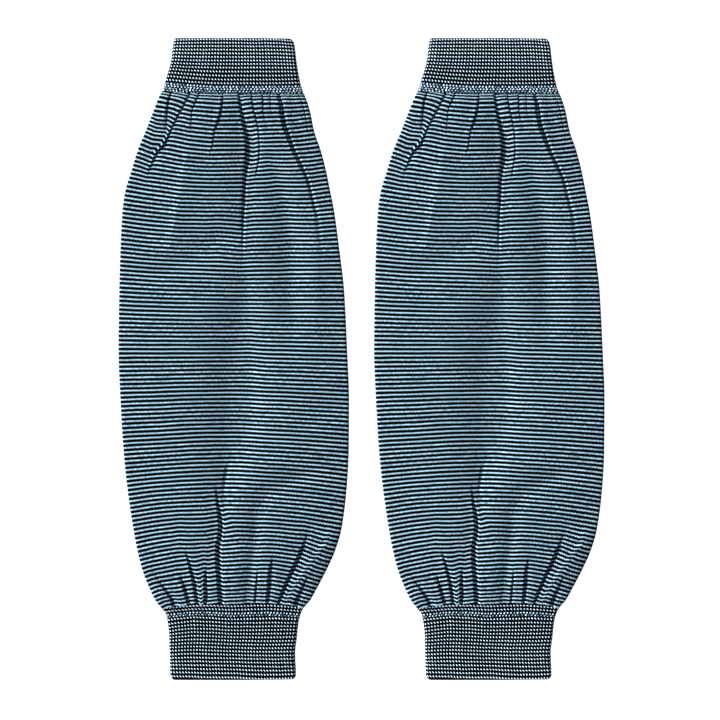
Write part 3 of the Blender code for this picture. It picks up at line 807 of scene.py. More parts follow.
@dataclass(frozen=True)
class Outline:
    """The sleeve's outline and the slope of its courses."""

    left: SmoothCurve = station_curve("left")
    right: SmoothCurve = station_curve("right")
    left_lift: SmoothCurve = station_curve("left_lift")
    right_lift: SmoothCurve = station_curve("right_lift")

    def lift(self, down: np.ndarray, across: np.ndarray) -> np.ndarray:
        """How far a course lies above its middle at a share across, from -1 at the left to 1."""
        return across**2 * np.where(across < 0, self.left_lift(down), self.right_lift(down))

    def reaches(self, down: np.ndarray) -> tuple[np.ndarray, np.ndarray]:
        """Left and right reach of the course at down, read where its ends lie."""
        return self.left(down - self.left_lift(down)), self.right(down - self.right_lift(down))

    def across(self, x: np.ndarray, down: np.ndarray) -> np.ndarray:
        """The share across, from -1 to 1, of places on the courses at down."""
        left, right = self.reaches(down)
        return np.clip(x / np.where(x < 0, left, right), -1, 1)

    def around(self, down: float) -> float:
        """Twice the width of the flat sleeve at down, which is the way around its cloth."""
        left, right = self.reaches(np.array([down]))
        return 2 * float(left[0] + right[0])


@dataclass(frozen=True)
class TubeGrid:
    """A tube of cloth as a grid of points, whose last column lies on its first.

    points has a row for each course, a column for each place around and three coordinates, and
    knit has two counts for each of them: across the cloth and along it.
    """

    points: np.ndarray
    knit: np.ndarray

    def mesh(self, name: str) -> bpy.types.Mesh:
        """Lay a grid on the points and join its seam.

        Args:
            name: The mesh's name.

        Returns:
            An open tube with its faces outwards and its counts in a UV map.
        """
        rows, columns = self.points.shape[0] - 1, self.points.shape[1] - 1
        bm = bmesh.new()
        knit_map = bm.loops.layers.uv.new(KNIT_MAP)
        bmesh.ops.create_grid(bm, x_segments=columns, y_segments=rows, size=1.0)
        places = {v: (round((v.co.y + 1) / 2 * rows), round((v.co.x + 1) / 2 * columns)) for v in bm.verts}
        for vert, place in places.items():
            vert.co = self.points[place]
        for face in bm.faces:
            for loop in face.loops:
                loop[knit_map].uv = self.knit[places[loop.vert]]
        bmesh.ops.remove_doubles(bm, verts=bm.verts, dist=SAME_PLACE)
        bmesh.ops.recalc_face_normals(bm, faces=bm.faces)
        mesh = bpy.data.meshes.new(name)
        bm.to_mesh(mesh)
        bm.free()
        mesh.shade_smooth()
        return mesh


@dataclass(frozen=True)
class Value:
    """A number in a node tree that takes part in sums, products and powers."""

    nodes: "Nodes"
    socket: bpy.types.NodeSocket

    def __add__(self, other: Any) -> "Value":
        """This plus other."""
        return self.nodes.math("ADD", self, other)

    def __sub__(self, other: Any) -> "Value":
        """This minus other."""
        return self.nodes.math("SUBTRACT", self, other)

    def __rsub__(self, other: Any) -> "Value":
        """Other minus this."""
        return self.nodes.math("SUBTRACT", other, self)

    def __mul__(self, other: Any) -> "Value":
        """This times other."""
        return self.nodes.math("MULTIPLY", self, other)

    def __truediv__(self, other: Any) -> "Value":
        """This over other."""
        return self.nodes.math("DIVIDE", self, other)

    def __pow__(self, other: Any) -> "Value":
        """This to the power of other."""
        return self.nodes.math("POWER", self, other)

    def __abs__(self) -> "Value":
        """This without its sign."""
        return self.nodes.math("ABSOLUTE", self)

    __radd__ = __add__
    __rmul__ = __mul__

    def fract(self) -> "Value":
        """The part of this after its whole number."""
        return self.nodes.math("FRACT", self)

    def centred(self) -> "Value":
        """How far this is above the nearest whole number, from -0.5 to 0.5."""
        return (self + 0.5).fract() - 0.5

    def step(self, low: float, high: float) -> "Value":
        """A smooth step from 0 where this is low to 1 where it is high."""
        sockets = {"Value": self, "From Min": low, "From Max": high}
        return self.nodes.add("ShaderNodeMapRange", {"interpolation_type": "SMOOTHSTEP"}, sockets)

    def past(self, edge: float, softness: float) -> "Value":
        """A smooth step from 0 below an edge to 1 above it."""
        return self.step(edge - softness, edge + softness)


@dataclass(frozen=True)
class Nodes:
    """Adds nodes to a material."""

    tree: bpy.types.NodeTree

    def add(self, kind: str, settings: dict[str, Any], sockets: dict[Any, Any], output: str = "") -> Value:
        """Add a node.

        Args:
            kind: The node's type.
            settings: Its properties, which are set first.
            sockets: A number, a colour or a value for each of its inputs, by name or number.
            output: Name of the output to return, or none for the first that is in use.

        Returns:
            The output as a value.
        """
        node = self.tree.nodes.new(kind)
        for key, setting in settings.items():
            setattr(node, key, setting)
        for key, content in sockets.items():
            named = [s for s in node.inputs if s.enabled and s.name == key]
            socket = named[0] if named else node.inputs[key]
            if isinstance(content, Value):
                self.tree.links.new(content.socket, socket)
            else:
                socket.default_value = content
        shown = [s for s in node.outputs if s.enabled and output in ("", s.name)]
        return Value(self, shown[0])

    def math(self, operation: str, *terms: Any) -> Value:
        """A Math node of one to three terms."""
        return self.add("ShaderNodeMath", {"operation": operation}, dict(enumerate(terms)))

    def mix(self, share: Value, first: Colour | Value, second: Colour | Value) -> Value:
        """A colour from first, where share is 0, to second, where it is 1."""
        a, b = (end if isinstance(end, Value) else (*end, 1) for end in (first, second))
        return self.add("ShaderNodeMix", {"data_type": "RGBA"}, {"Factor": share, "A": a, "B": b})

    def knit_counts(self) -> tuple[Value, Value]:
        """Read the piece's UV map.

        Returns:
            The counts across and along the cloth.
        """
        place = self.add("ShaderNodeUVMap", {"uv_map": KNIT_MAP}, {})
        parts = self.add("ShaderNodeSeparateXYZ", {}, {"Vector": place})
        return parts, Value(self, parts.socket.node.outputs["Y"])

    def noise(self, u: Value, v: Value, grain: Grain, detail: float = 2.0) -> Value:
        """Smooth noise from -0.5 to 0.5 that changes about grain times in a unit of u and of v."""
        place = self.add("ShaderNodeCombineXYZ", {}, {"X": u * grain[0], "Y": v * grain[1]})
        return self.add("ShaderNodeTexNoise", {}, {"Vector": place, "Scale": 1.0, "Detail": detail}) - 0.5


def srgb(red: int, green: int, blue: int) -> Colour:
    """A colour of three sRGB channels, from 0 to 255, as linear ones."""
    return linear(red / 255), linear(green / 255), linear(blue / 255)


@dataclass(frozen=True)
class Yarns:
    """The two yarns of the knit and how their surface takes the light.

    The third colour is painted shade: the pale yarn as it looks where it lies deep in shade between the
    stitches.
    """

    pale: Colour
    dark: Colour
    # painted shade: the pale yarn as it looks deep in shade
    pale_in_shade: Colour
    roughness: float = 0.9
    specular: float = 0.03
    bump: float = 0.5  # how strongly the relief of the stitches turns the light

    def start(self, name: str) -> tuple[bpy.types.Material, Nodes]:
        """Start a material of these yarns.

        Args:
            name: The material's name.

        Returns:
            The material, and the means to add nodes to it.
        """
        material = bpy.data.materials.new(name)
        material.use_nodes = True
        shader = material.node_tree.nodes["Principled BSDF"]
        shader.inputs["Roughness"].default_value = self.roughness
        shader.inputs["Specular IOR Level"].default_value = self.specular
        return material, Nodes(material.node_tree)

    def finish(self, nodes: Nodes, colour: Value, height: Value, depth: float) -> None:
        """Give the shader its colour and relief.

        Args:
            nodes: The material's nodes.
            colour: The cloth's colour.
            height: The relief of the stitches, from 0 to 1.
            depth: The depth of that relief.
        """
        shader = nodes.tree.nodes["Principled BSDF"]
        nodes.tree.links.new(colour.socket, shader.inputs["Base Color"])
        sockets = {"Height": height, "Distance": depth, "Strength": self.bump}
        normal = nodes.add("ShaderNodeBump", {}, sockets)
        nodes.tree.links.new(normal.socket, shader.inputs["Normal"])


@dataclass(frozen=True)
class StripedJersey:
    """Jersey whose yarn changes every second course.

    Lengths along the cloth are in stripes, where one counts a dark and a pale stripe together, and
    lengths across it in wales. A grain is how often a noise changes in a wale and in a stripe.
    """

    yarns: Yarns
    courses: int = 4  # in a stripe
    pale_share: float = 0.277  # of a stripe
    softness: float = 0.07  # of the edge between two yarns
    shaded_fringe: float = 0.02  # half the width of the painted shade along that edge
    zigzag: float = 0.11  # how far a stitch's two legs pull the edge
    wander: float = 0.16  # how far the stripes stray from their courses
    wander_grain: Grain = (0.05, 0.30)
    raggedness: float = 0.10  # how far a stripe's edge frays
    fine_grain: Grain = (1.1, 1.1)
    broad_grain: Grain = (0.04, 0.6)
    stitch_shade: float = 0.20  # painted shade: how much darker the pale yarn is painted between its stitches
    fine_shade: float = 1.9  # how uneven it is from stitch to stitch
    broad_shade: float = 0.8  # and from place to place
    deepest: float = 0.2  # shade at which it takes its painted shade tone
    palest: float = 1.5  # shade at which it has its full colour
    relief: float = 0.00018  # depth of the stitches

    def material(self) -> bpy.types.Material:
        """Make the finish.

        Returns:
            The striped jersey.
        """
        material, nodes = self.yarns.start("striped_jersey")
        wales, stripes = nodes.knit_counts()
        wander = nodes.noise(wales, stripes, self.wander_grain)
        fine = nodes.noise(wales, stripes, self.fine_grain, detail=1.0)
        broad = nodes.noise(wales, stripes, self.broad_grain)
        leg = abs(wales.centred()) * 2
        lie = stripes + wander * self.wander - (leg - 0.5) * self.zigzag
        edge = abs(lie.centred()) - fine * self.raggedness - self.pale_share / 2
        # Painted shade: a band of the pale yarn's shaded tone along each stripe's edge, over the dark yarn
        fringe_shade_mask = 1 - edge.past(self.shaded_fringe, self.softness)
        pale = 1 - edge.past(-self.shaded_fringe, self.softness)
        course = (lie * self.courses).centred() * 2
        stitch = (1 - course * course) * (1 - (2 * leg - 1) ** 2)
        # Painted shade between the stitches, with the yarn's uneven tone, moves the pale yarn towards its
        # painted shade colour
        shade = 1 - self.stitch_shade * (1 - stitch) + fine * self.fine_shade + broad * self.broad_shade
        shaded = nodes.mix(shade.step(self.deepest, self.palest), self.yarns.pale_in_shade, self.yarns.pale)
        shaded_ground = nodes.mix(fringe_shade_mask, self.yarns.dark, self.yarns.pale_in_shade)
        self.yarns.finish(nodes, nodes.mix(pale, shaded_ground, shaded), stitch, self.relief)
        return material


@dataclass(frozen=True)
class DottedRib:
    """Rib knit in two yarns, where the pale one shows as a row of slanted dots on the ribs.

    Lengths along the cloth are in rows of dots and lengths across it in ribs. A grain is how often a
    noise changes in a rib and in a row. Where the cuff meets the body its rows are crowded, and
    there the dots stand upright, alternate from one row to the next and are less regular.
    """

    yarns: Yarns
    edge: Colour  # painted shade on the rim of a dot
    crowded: tuple[float, float]  # from and up to these row counts
    slant: float  # how far a dot leans sideways over a row
    thinning: float  # how much smaller the dots are after the thinned rows
    crowded_height: float  # half of a dot's height among the crowded rows
    dot_width: float = 0.183  # half of a dot's width
    dot_height: float = 0.208  # half of its height
    core: tuple[float, float] = (0.9, 1.5)  # a dot fades out between these, where 1 is its edge
    shade_rim: tuple[float, float] = (1.1, 1.7)  # and its painted shade rim between these
    thinned: tuple[float, float] = (4.0, 10.0)  # the dots get smaller from the first row to the last
    crowded_edge: float = 0.02  # half of the run over which those rows begin and end
    crowded_ground: float = 0.25  # how much more painted shade lies between the dots there
    wander: float = 0.18  # how far the rows stray
    wander_grain: Grain = (0.35, 0.35)
    unevenness: float = 0.16  # how far a dot strays along its row
    raggedness: float = 0.4  # how uneven its outline is
    uneven_grain: Grain = (1.7, 1.7)
    unruliness: float = 1.2  # how far a dot strays among the crowded rows
    unruly_grain: Grain = (0.8, 1.3)
    streaks: float = 1.2  # how much the dots' size differs from rib to rib
    streak_grain: Grain = (0.9, 0.08)
    shade_band: float = 0.15  # half the height of the painted shade along a row, where the pale yarn lies deep between the dots
    band_edge: float = 0.08  # how softly that painted shade ends
    band_relief: float = 0.3  # its height, as a share of a dot's
    relief: float = 0.00022  # height of a dot

    def material(self, name: str) -> bpy.types.Material:
        """Make the finish.

        Args:
            name: The material's name.

        Returns:
            The ribbed knit.
        """
        material, nodes = self.yarns.start(name)
        ribs, rows = nodes.knit_counts()
        wander = nodes.noise(ribs, rows, self.wander_grain)
        uneven = nodes.noise(ribs, rows, self.uneven_grain)
        unruly = nodes.noise(ribs, rows, self.unruly_grain)
        streak = nodes.noise(ribs, rows, self.streak_grain)
        wavy = rows + wander * self.wander
        above = wavy.centred()
        odd = abs(((wavy - above) / 2).centred()) * 2
        first, last = self.crowded
        inside = rows.past(first, self.crowded_edge) * (1 - rows.past(last, self.crowded_edge))
        stray = uneven * self.unevenness + inside * (odd * 0.5 + unruly * self.unruliness)
        beside = (ribs + 0.5 + stray + above * (1 - inside) * self.slant).centred()
        height = inside * (self.crowded_height - self.dot_height) + self.dot_height
        thin = 1 + streak * self.streaks + rows.step(*self.thinned) * (1 - inside) * self.thinning
        away = ((beside / self.dot_width) ** 2 + (above / height) ** 2) * thin + uneven * self.raggedness
        core = 1 - away.step(*self.core)
        # Painted shade: a band of the pale yarn's shaded tone along each row between the dots, with more
        # of it among the crowded rows
        shade_band = 1 - (abs(above) - self.shade_band).past(0.0, self.band_edge)
        shaded_ground = nodes.mix(shade_band + inside * self.crowded_ground, self.yarns.dark, self.yarns.pale_in_shade)
        # Painted shade on each dot's rim, where its pale yarn turns down into the hollows
        with_shaded_rim = nodes.mix(1 - away.step(*self.shade_rim), shaded_ground, self.edge)
        colour = nodes.mix(core, with_shaded_rim, self.yarns.pale)
        self.yarns.finish(nodes, colour, core + shade_band * self.band_relief, self.relief)
        return material


@dataclass(frozen=True)
class FloorPaint:
    """A plain pale floor, a little uneven in its roughness."""

    colour: Colour = (0.86, 0.86, 0.86)
    specular: float = 0.1
    roughness: float = 0.8  # at its smoothest
    unevenness: float = 0.1
    grain: float = 40.0  # about how often that changes in a metre

    def material(self) -> bpy.types.Material:
        """Make the finish.

        Returns:
            The floor's material.
        """
        material = bpy.data.materials.new("pale_floor")
        material.use_nodes = True
        nodes = Nodes(material.node_tree)
        shader = material.node_tree.nodes["Principled BSDF"]
        shader.inputs["Base Color"].default_value = (*self.colour, 1)
        shader.inputs["Specular IOR Level"].default_value = self.specular
        place = nodes.add("ShaderNodeTexCoord", {}, {}, "Object")
        grain = nodes.add("ShaderNodeTexNoise", {}, {"Vector": place, "Scale": self.grain})
        roughness = grain * self.unevenness + self.roughness
        material.node_tree.links.new(roughness.socket, shader.inputs["Roughness"])
        return material


class Lip(NamedTuple):
    """An edge of a panel, at a crease or a side fold, with a row for each course.

    rise is how far up the stripes lie there, and hook how far more they turn up beside it.
    """

    place: np.ndarray
    height: np.ndarray
    rise: np.ndarray
    hook: np.ndarray


class Strip(NamedTuple):
    """Columns of a face, with a row for each course: place across, relief and the stripes' rise."""

    place: np.ndarray
    relief: np.ndarray
    rise: np.ndarray


@dataclass
class GatheredBody:
    """The striped tube between the cuffs, gathered into both of them."""

    outline: Outline
    rows: int = 170  # of the mesh, down the body
    crowding: float = 0.74  # 0 spaces the rows evenly, 1 crowds them all at the seams
    column_width: float = 0.0013  # of the mesh between creases, at the waist
    least_columns: int = 3  # between two creases
    leg_columns: int = 4  # on each wall of a crease
    side_columns: int = 10  # around a side fold
    side_fullness: float = 3.2  # 2 makes a side fold round, and more makes it squarer
    back_column_width: float = 0.0052  # between creases on the underside, at the waist
    back_leg_columns: int = 2  # on each wall of a crease there
    back_depth: float = 0.35  # of the underside's creases, as a share of the front's
    wall: float = 0.00065  # thickness of the cloth
    clearance: float = 0.00015  # least hollow between the two layers
    floor_round: float = 0.0003  # how gently the upper layer comes to lie on the one beneath
    shoulder: float = 0.0032  # a lip runs out into its panel over this width
    softening: float = 0.15  # how round a ridge is along its line, as a share of its run
    swell_power: float = 1.4  # how steeply a ridge falls off
    calm: float = 0.93  # the relief fades out from this share across to the side folds
    seam_hold: float = 0.45  # share of a lip's height that is left at a seam
    seam_run: float = 0.003  # and over this run it grows to all of it
    panel_run: float = 0.045  # a panel's crown and sag fade out over this run from a seam
    hook_run: float = 0.0022  # a hook runs out over this width
    wale: float = 0.0008  # width of a wale
    tuck: float = 0.0010  # each end reaches this far into its cuff
    tuck_start: float = 0.0003  # and is drawn in from this far before the seam
    tuck_drop: float = 0.30  # share of its height that it loses there
    tuck_narrowing: float = 0.03  # and share of its width
    pucker: float = 0.00022  # how far the stripes wave at a seam
    pucker_run: float = 0.004  # those waves fade out over this run
    pucker_waves: tuple[float, float] = (0.9, 1.37)  # radians a wale of the two waves in it
    pucker_shift: float = 1.0  # radians between those

    @cached_property
    def down(self) -> np.ndarray:
        """Space the rows.

        Returns:
            Distance down the sleeve of each row, as a column.
        """
        even = np.linspace(0, 1, self.rows + 1)[:, None]
        share = even - self.crowding * np.sin(2 * math.pi * even) / (2 * math.pi)
        first, last = UPPER_CUFF_LENGTH - self.tuck, LOWER_SEAM + self.tuck
        return first + share * (last - first)

    @cached_property
    def from_seams(self) -> tuple[np.ndarray, np.ndarray]:
        """Distance of each row from the upper and from the lower seam."""
        return self.down - UPPER_CUFF_LENGTH, LOWER_SEAM - self.down

    @cached_property
    def waist(self) -> int:
        """The row nearest to the waist."""
        return int(np.argmin(np.abs(self.down[:, 0] - WAIST)))

    @cached_property
    def creases(self) -> list[dict[str, np.ndarray]]:
        """Read the creases' tables on each row.

        Returns:
            Each column of a crease's sections, by name, for each crease.
        """
        down = self.down[:, 0]
        creases = []
        for sections in CREASES.values():
            across = self.outline.across(section_curve(sections, "place")(down), down)
            at = down - self.outline.lift(down, across)
            curves = {name: section_curve(sections, name) for name in Section._fields[1:]}
            creases.append({name: curve(at)[:, None] for name, curve in curves.items()})
        return creases

    @cached_property
    def lips(self) -> tuple[list[Lip], list[Lip]]:
        """Place the edges of the panels.

        Returns:
            The left edges and the right edges of all the panels, from left to right.
        """
        left, right = self.outline.reaches(self.down)
        turn = JERSEY + SIDE_GAP / 2
        level = np.zeros_like(left)
        starts, ends = [Lip(turn - left, level, level, level)], []
        for crease in self.creases:
            place, rise = crease["place"], crease["jump"] / 2
            ends.append(Lip(place - crease["left_run"], crease["left"], -rise, crease["left_hook"]))
            starts.append(Lip(place + crease["right_run"], crease["right"], rise, crease["right_hook"]))
        ends.append(Lip(right - turn, level, level, level))
        return starts, ends

    def height(self, x: np.ndarray) -> np.ndarray:
        """Work out the mean height of the upper face.

        Args:
            x: Places across.

        Returns:
            The height of the two layers, the hollow between them and the loft.
        """
        across = self.outline.across(x, self.down)
        inward = 1 - across**2
        grown = smoothstep(0, LOFT_RUN, np.minimum(*self.from_seams))
        loft = grown * BODY_LOFT + (1 - grown) * (CUFF_LOFT + SEAM_RISE)
        return 2 * JERSEY + SIDE_GAP + loft * inward

    def swells(self, table: dict[str, tuple[Crest, ...]], x: np.ndarray) -> np.ndarray:
        """Add up the ridges and hollows of a table.

        Args:
            table: The ridges and hollows.
            x: Places across.

        Returns:
            Their sum at each place.
        """
        at = self.down - self.outline.lift(self.down, self.outline.across(x, self.down))
        total = np.zeros_like(x)
        for crests in table.values():
            beside = x - section_curve(crests, "place")(at)
            runs = [section_curve(crests, column)(at) for column in ("left_run", "right_run")]
            rounding = self.softening * np.minimum(*runs)
            distance = np.hypot(beside, rounding) - rounding
            share = distance / np.where(beside < 0, *runs)
            total += section_curve(crests, "rise")(at) * np.exp(-(share**self.swell_power))
        return total

    def cloth(self, panel: Panel, first: Lip, last: Lip, spacing: float) -> Strip:
        """Lay the cloth of a panel.

        Args:
            panel: How it swells and its stripes sag.
            first: Its left lip.
            last: Its right lip.
            spacing: The width of a column at the waist.

        Returns:
            Its columns, without the one on its right lip.
        """
        from_upper, from_lower = (smoothstep(self.panel_run, 0.0, seam) for seam in self.from_seams)
        crown = (from_upper * panel.upper_crown + from_lower * panel.lower_crown) * MM
        sag = (from_upper * panel.upper_sag + from_lower * panel.lower_sag) * MM
        width = last.place - first.place
        count = max(self.least_columns, round(float(width[self.waist, 0]) / spacing))
        t = np.linspace(0, 1, count + 1)[None, :-1]
        place = first.place + t * width
        after, before = place - first.place, last.place - place
        shoulder = np.minimum(width, self.shoulder)
        from_first = first.height * np.clip(1 - after / shoulder, 0, 1) ** 2
        from_last = last.height * np.clip(1 - before / shoulder, 0, 1) ** 2
        relief = from_first + from_last + crown * np.sin(math.pi * t)
        rise = (1 - t) * first.rise + t * last.rise - sag * 4 * t * (1 - t)
        rise = rise + first.hook * np.exp(-after / self.hook_run)
        return Strip(place, relief, rise + last.hook * np.exp(-before / self.hook_run))

    def walls(self, crease: dict[str, np.ndarray], first: Lip, last: Lip, legs: int) -> Strip:
        """Lay the two walls of a crease.

        Args:
            crease: The columns of its sections.
            first: Its left lip.
            last: Its right lip.
            legs: How many columns there are on each wall.

        Returns:
            Its columns, without the one on its right lip.
        """
        steps = np.linspace(0, 1, legs + 1)[None, :-1]
        eased = smoothstep(0, 1, steps)
        floor = crease["floor"]
        place = [first.place + steps * crease["left_run"], crease["place"] + steps * crease["right_run"]]
        relief = [first.height + eased * (floor - first.height), floor + eased * (last.height - floor)]
        low = first.hook + first.rise
        climb = last.hook + last.rise - low
        rise = [low + steps / 2 * climb, low + (0.5 + steps / 2) * climb]
        return Strip(*(np.concatenate(pair, axis=1) for pair in (place, relief, rise)))

    def front(self, spacing: float, legs: int) -> Strip:
        """Lay the cloth from the left turn to the right one.

        Args:
            spacing: The width of a column between creases, at the waist.
            legs: How many columns there are on each wall of a crease.

        Returns:
            All its columns.
        """
        starts, ends = self.lips
        strips = []
        for index, panel in enumerate(PANELS):
            strips.append(self.cloth(panel, starts[index], ends[index], spacing))
            if index < len(self.creases):
                strips.append(self.walls(self.creases[index], ends[index], starts[index + 1], legs))
        strips.append(Strip(*ends[-1][:3]))
        return Strip(*(np.concatenate(parts, axis=1) for parts in zip(*strips)))

    def turned(self, side: int) -> tuple[np.ndarray, np.ndarray]:
        """Turn the cloth around a side fold.

        Args:
            side: -1 for the left fold, which runs up, or 1 for the right one, which runs down.

        Returns:
            The places across and the heights.
        """
        reach = self.outline.reaches(self.down)[0 if side < 0 else 1]
        radius = JERSEY + SIDE_GAP / 2
        angles = side * math.pi * (0.5 - np.linspace(0, 1, self.side_columns + 1)[None, :])
        power = 2 / self.side_fullness
        over = np.abs(np.cos(angles)) ** power
        up = np.sign(np.sin(angles)) * np.abs(np.sin(angles)) ** power
        x = side * (reach - radius) + side * radius * over
        return x, np.broadcast_to(radius + radius * up, x.shape)

    def upper_face(self, x: np.ndarray, relief: np.ndarray, low: np.ndarray) -> np.ndarray:
        """Heights of the upper face.

        Args:
            x: Places across.
            relief: Height of the gathers there.
            low: The lowest that the cloth lies there, on the layer beneath it.

        Returns:
            The heights, eased where the cloth meets that layer.
        """
        grown = smoothstep(0, self.seam_run, np.minimum(*self.from_seams))
        held = self.seam_hold + (1 - self.seam_hold) * grown
        relief = np.where(relief > 0, relief * held, relief)
        inside = smoothstep(1.0, self.calm, np.abs(self.outline.across(x, self.down)))
        half = (self.height(x) + (relief + self.swells(SWELLS, x)) * inside - low) / 2
        return low + half + np.hypot(half, self.floor_round)

    def grid(self) -> TubeGrid:
        """Go around each course, from the middle of the underside and back to it.

        Returns:
            The grid of the whole tube.
        """
        top = self.front(self.column_width, self.leg_columns)
        back = self.front(self.back_column_width, self.back_leg_columns)
        left, right = self.outline.reaches(self.down)
        back_x = -back.place * np.where(back.place < 0, right / left, left / right)
        back_z = np.clip(-back.relief, 0, None) * self.back_depth
        courses = zip(top.place, back_x, back_z)
        beneath = np.stack([np.interp(at, bx[::-1], bz[::-1]) for at, bx, bz in courses])
        top_z = self.upper_face(top.place, top.relief, beneath + 2 * self.wall + self.clearance)
        middle = back_x.shape[1] // 2
        left_x, left_z = self.turned(-1)
        right_x, right_z = self.turned(1)
        level = np.zeros_like(left_x)
        columns = (
            (back_x, left_x, top.place, right_x),
            (back_z, left_z, top_z, right_z),
            (back.rise, level, top.rise, level),
        )
        rounds = [
            (under[:, middle:], first[:, 1:-1], upper, last[:, 1:-1], under[:, : middle + 1])
            for under, first, upper, last in columns
        ]
        return self.laid(*(np.concatenate(parts, axis=1) for parts in rounds))

    def laid(self, x: np.ndarray, z: np.ndarray, rise: np.ndarray) -> TubeGrid:
        """Put the courses in place, tuck their ends into the cuffs and count wales and stripes.

        Args:
            x: Places across.
            z: Heights.
            rise: How far up the gathers move the stripes.

        Returns:
            The grid of the whole tube.
        """
        across = self.outline.across(x, self.down)
        y = SLEEVE_LENGTH / 2 - self.down + self.outline.lift(self.down, across)
        steps = np.hypot(np.diff(x[self.waist]), np.diff(z[self.waist]))
        wales = np.concatenate([[0.0], np.cumsum(steps)]) / self.wale
        wales *= round(wales[-1]) / wales[-1]
        from_seam = np.minimum(*self.from_seams)
        first, second = (wales * wave for wave in self.pucker_waves)
        pucker = self.pucker * (np.sin(first) + np.sin(second + self.pucker_shift)) / 2
        rise = rise - drift(DRIFTS, self.down, across) - self.swells(RIPPLES, x)
        rise = rise + pucker * np.exp(-np.clip(from_seam, 0, None) / self.pucker_run)
        counts = tally_curve(STRIPES)(self.down)
        beyond = self.down - np.clip(self.down, STRIPES[0].place, STRIPES[-1].place)
        stripes = counts - (beyond + rise) / STRIPE_PERIOD
        drawn = smoothstep(self.tuck_start, -self.tuck, from_seam)
        middle = RIB + SIDE_GAP / 2
        z = middle + (z - middle) * (1 - drawn * self.tuck_drop)
        x = x * (1 - drawn * self.tuck_narrowing)
        knit = np.stack([np.broadcast_to(wales, x.shape), np.broadcast_to(stripes, x.shape)], axis=2)
        return TubeGrid(np.stack([x, y, z], axis=2), knit)

    @cached_property
    def mesh(self) -> bpy.types.Mesh:
        """The body of a sleeve on the middle line of the pair."""
        return self.grid().mesh("body")


@dataclass
class RibbedCuff:
    """A ribbed tube at one end of a sleeve."""

    end: CuffEnd
    outline: Outline
    ribs: int = 86  # all round
    rib_columns: int = 6  # of the mesh, on each rib
    row_height: float = 0.0007  # of the mesh
    depth: float = 0.00045  # of the grooves between the ribs
    crest: float = 2.2  # a higher power makes the ribs flatter and the grooves narrower
    bulge: float = 0.00010  # how far a row of dots stands out
    edge_round: float = 0.0005  # the free edge is rounded this much
    edge_rows: tuple[float, ...] = (0.0, 0.15, 0.45)  # of the mesh, as shares of that rounding
    corner: float = 0.003  # its corners are cut round within this distance of its free edge
    corner_bend: float = 8.0  # a higher power keeps the ribs straight closer to the corners
    wall: float = 0.0010  # thickness of the cloth

    @property
    def length(self) -> float:
        """Length of the cuff."""
        return UPPER_CUFF_LENGTH if self.end is CuffEnd.UPPER else LOWER_CUFF_LENGTH

    @property
    def middle(self) -> float:
        """Distance down the sleeve of the cuff's middle course."""
        return self.length / 2 if self.end is CuffEnd.UPPER else SLEEVE_LENGTH - self.length / 2

    @cached_property
    def dots(self) -> SmoothCurve:
        """Row count by distance from the free edge."""
        return tally_curve(UPPER_DOTS if self.end is CuffEnd.UPPER else LOWER_DOTS)

    @cached_property
    def rows(self) -> np.ndarray:
        """Space the rows of the mesh.

        Returns:
            Distance from the free edge of each row, as a column.
        """
        rounding = self.edge_round * np.array(self.edge_rows)
        count = round(self.length / self.row_height)
        return np.concatenate([rounding, np.linspace(self.edge_round, self.length, count + 1)])[:, None]

    def section(self, down: np.ndarray) -> tuple[np.ndarray, ...]:
        """Places around the cuff, by length around its flat oval from the middle of its underside.

        Args:
            down: The rows' distances down the sleeve, as a column.

        Returns:
            The places across, the heights and the two parts of the direction outwards.
        """
        left, right = self.outline.reaches(np.clip(down, self.corner, SLEEVE_LENGTH - self.corner))
        radius = RIB + SIDE_GAP / 2
        turn = math.pi * radius
        bottom_left, top, bottom_right = left - radius, left + right - 2 * radius, right - radius
        share = np.linspace(0, 1, self.ribs * self.rib_columns + 1)[None, :]
        way = share * (bottom_left + turn + top + turn + bottom_right)
        on_top = way - bottom_left - turn
        on_right = on_top - top
        left_angle = math.pi * (1.5 - (way - bottom_left) / turn)
        right_angle = math.pi * (0.5 - on_right / turn)
        parts = [way < bottom_left, on_top < 0, on_right < 0, on_right < turn]
        angle = np.select(parts, [-math.pi / 2, left_angle, math.pi / 2, right_angle], -math.pi / 2)
        centre = np.select(
            parts,
            [-way, -bottom_left, -bottom_left + on_top, bottom_right],
            bottom_right - (on_right - turn),
        )
        out_x, out_z = np.cos(angle), np.sin(angle)
        x = centre + radius * out_x
        round_left, round_right = self.outline.reaches(down)
        cut = np.where(x < 0, left - round_left, round_right - right)
        x = x + cut * np.abs(x / np.where(x < 0, left, right)) ** self.corner_bend
        across = self.outline.across(x, down)
        loft = np.where(out_z > 0, CUFF_LOFT * (1 - across**CUFF_FULLNESS), 0)
        return x, radius + radius * out_z + loft, out_x, out_z

    def grid(self) -> TubeGrid:
        """Raise the ribs and the dots and count them.

        Returns:
            The grid of the whole tube.
        """
        away = self.rows
        upper = self.end is CuffEnd.UPPER
        down = away if upper else SLEEVE_LENGTH - away
        x, z, out_x, out_z = self.section(down)
        across = self.outline.across(x, down)
        lower_by = drift(UPPER_CUFF_DRIFTS if upper else LOWER_CUFF_DRIFTS, down, across)
        counts = self.dots(away - lower_by if upper else away + lower_by)
        ribs = np.linspace(0, self.ribs, self.ribs * self.rib_columns + 1)[None, :]
        ridge = 1 - np.abs(2 * (ribs % 1) - 1) ** self.crest
        inset = self.depth * (1 - ridge) + self.bulge * (1 - np.cos(2 * math.pi * counts)) / 2 * ridge
        near = np.clip(1 - away / self.edge_round, 0, 1)
        inset = inset + self.edge_round * (1 - np.sqrt(1 - near**2))
        y = SLEEVE_LENGTH / 2 - down + self.outline.lift(down, across)
        x, z = x - out_x * inset, z - out_z * inset
        knit = np.stack([np.broadcast_to(ribs, x.shape), counts], axis=2)
        return TubeGrid(np.stack([x, y, z], axis=2), knit)

    @cached_property
    def mesh(self) -> bpy.types.Mesh:
        """The cuff on the middle line of the pair."""
        return self.grid().mesh(self.end.value + "_cuff")


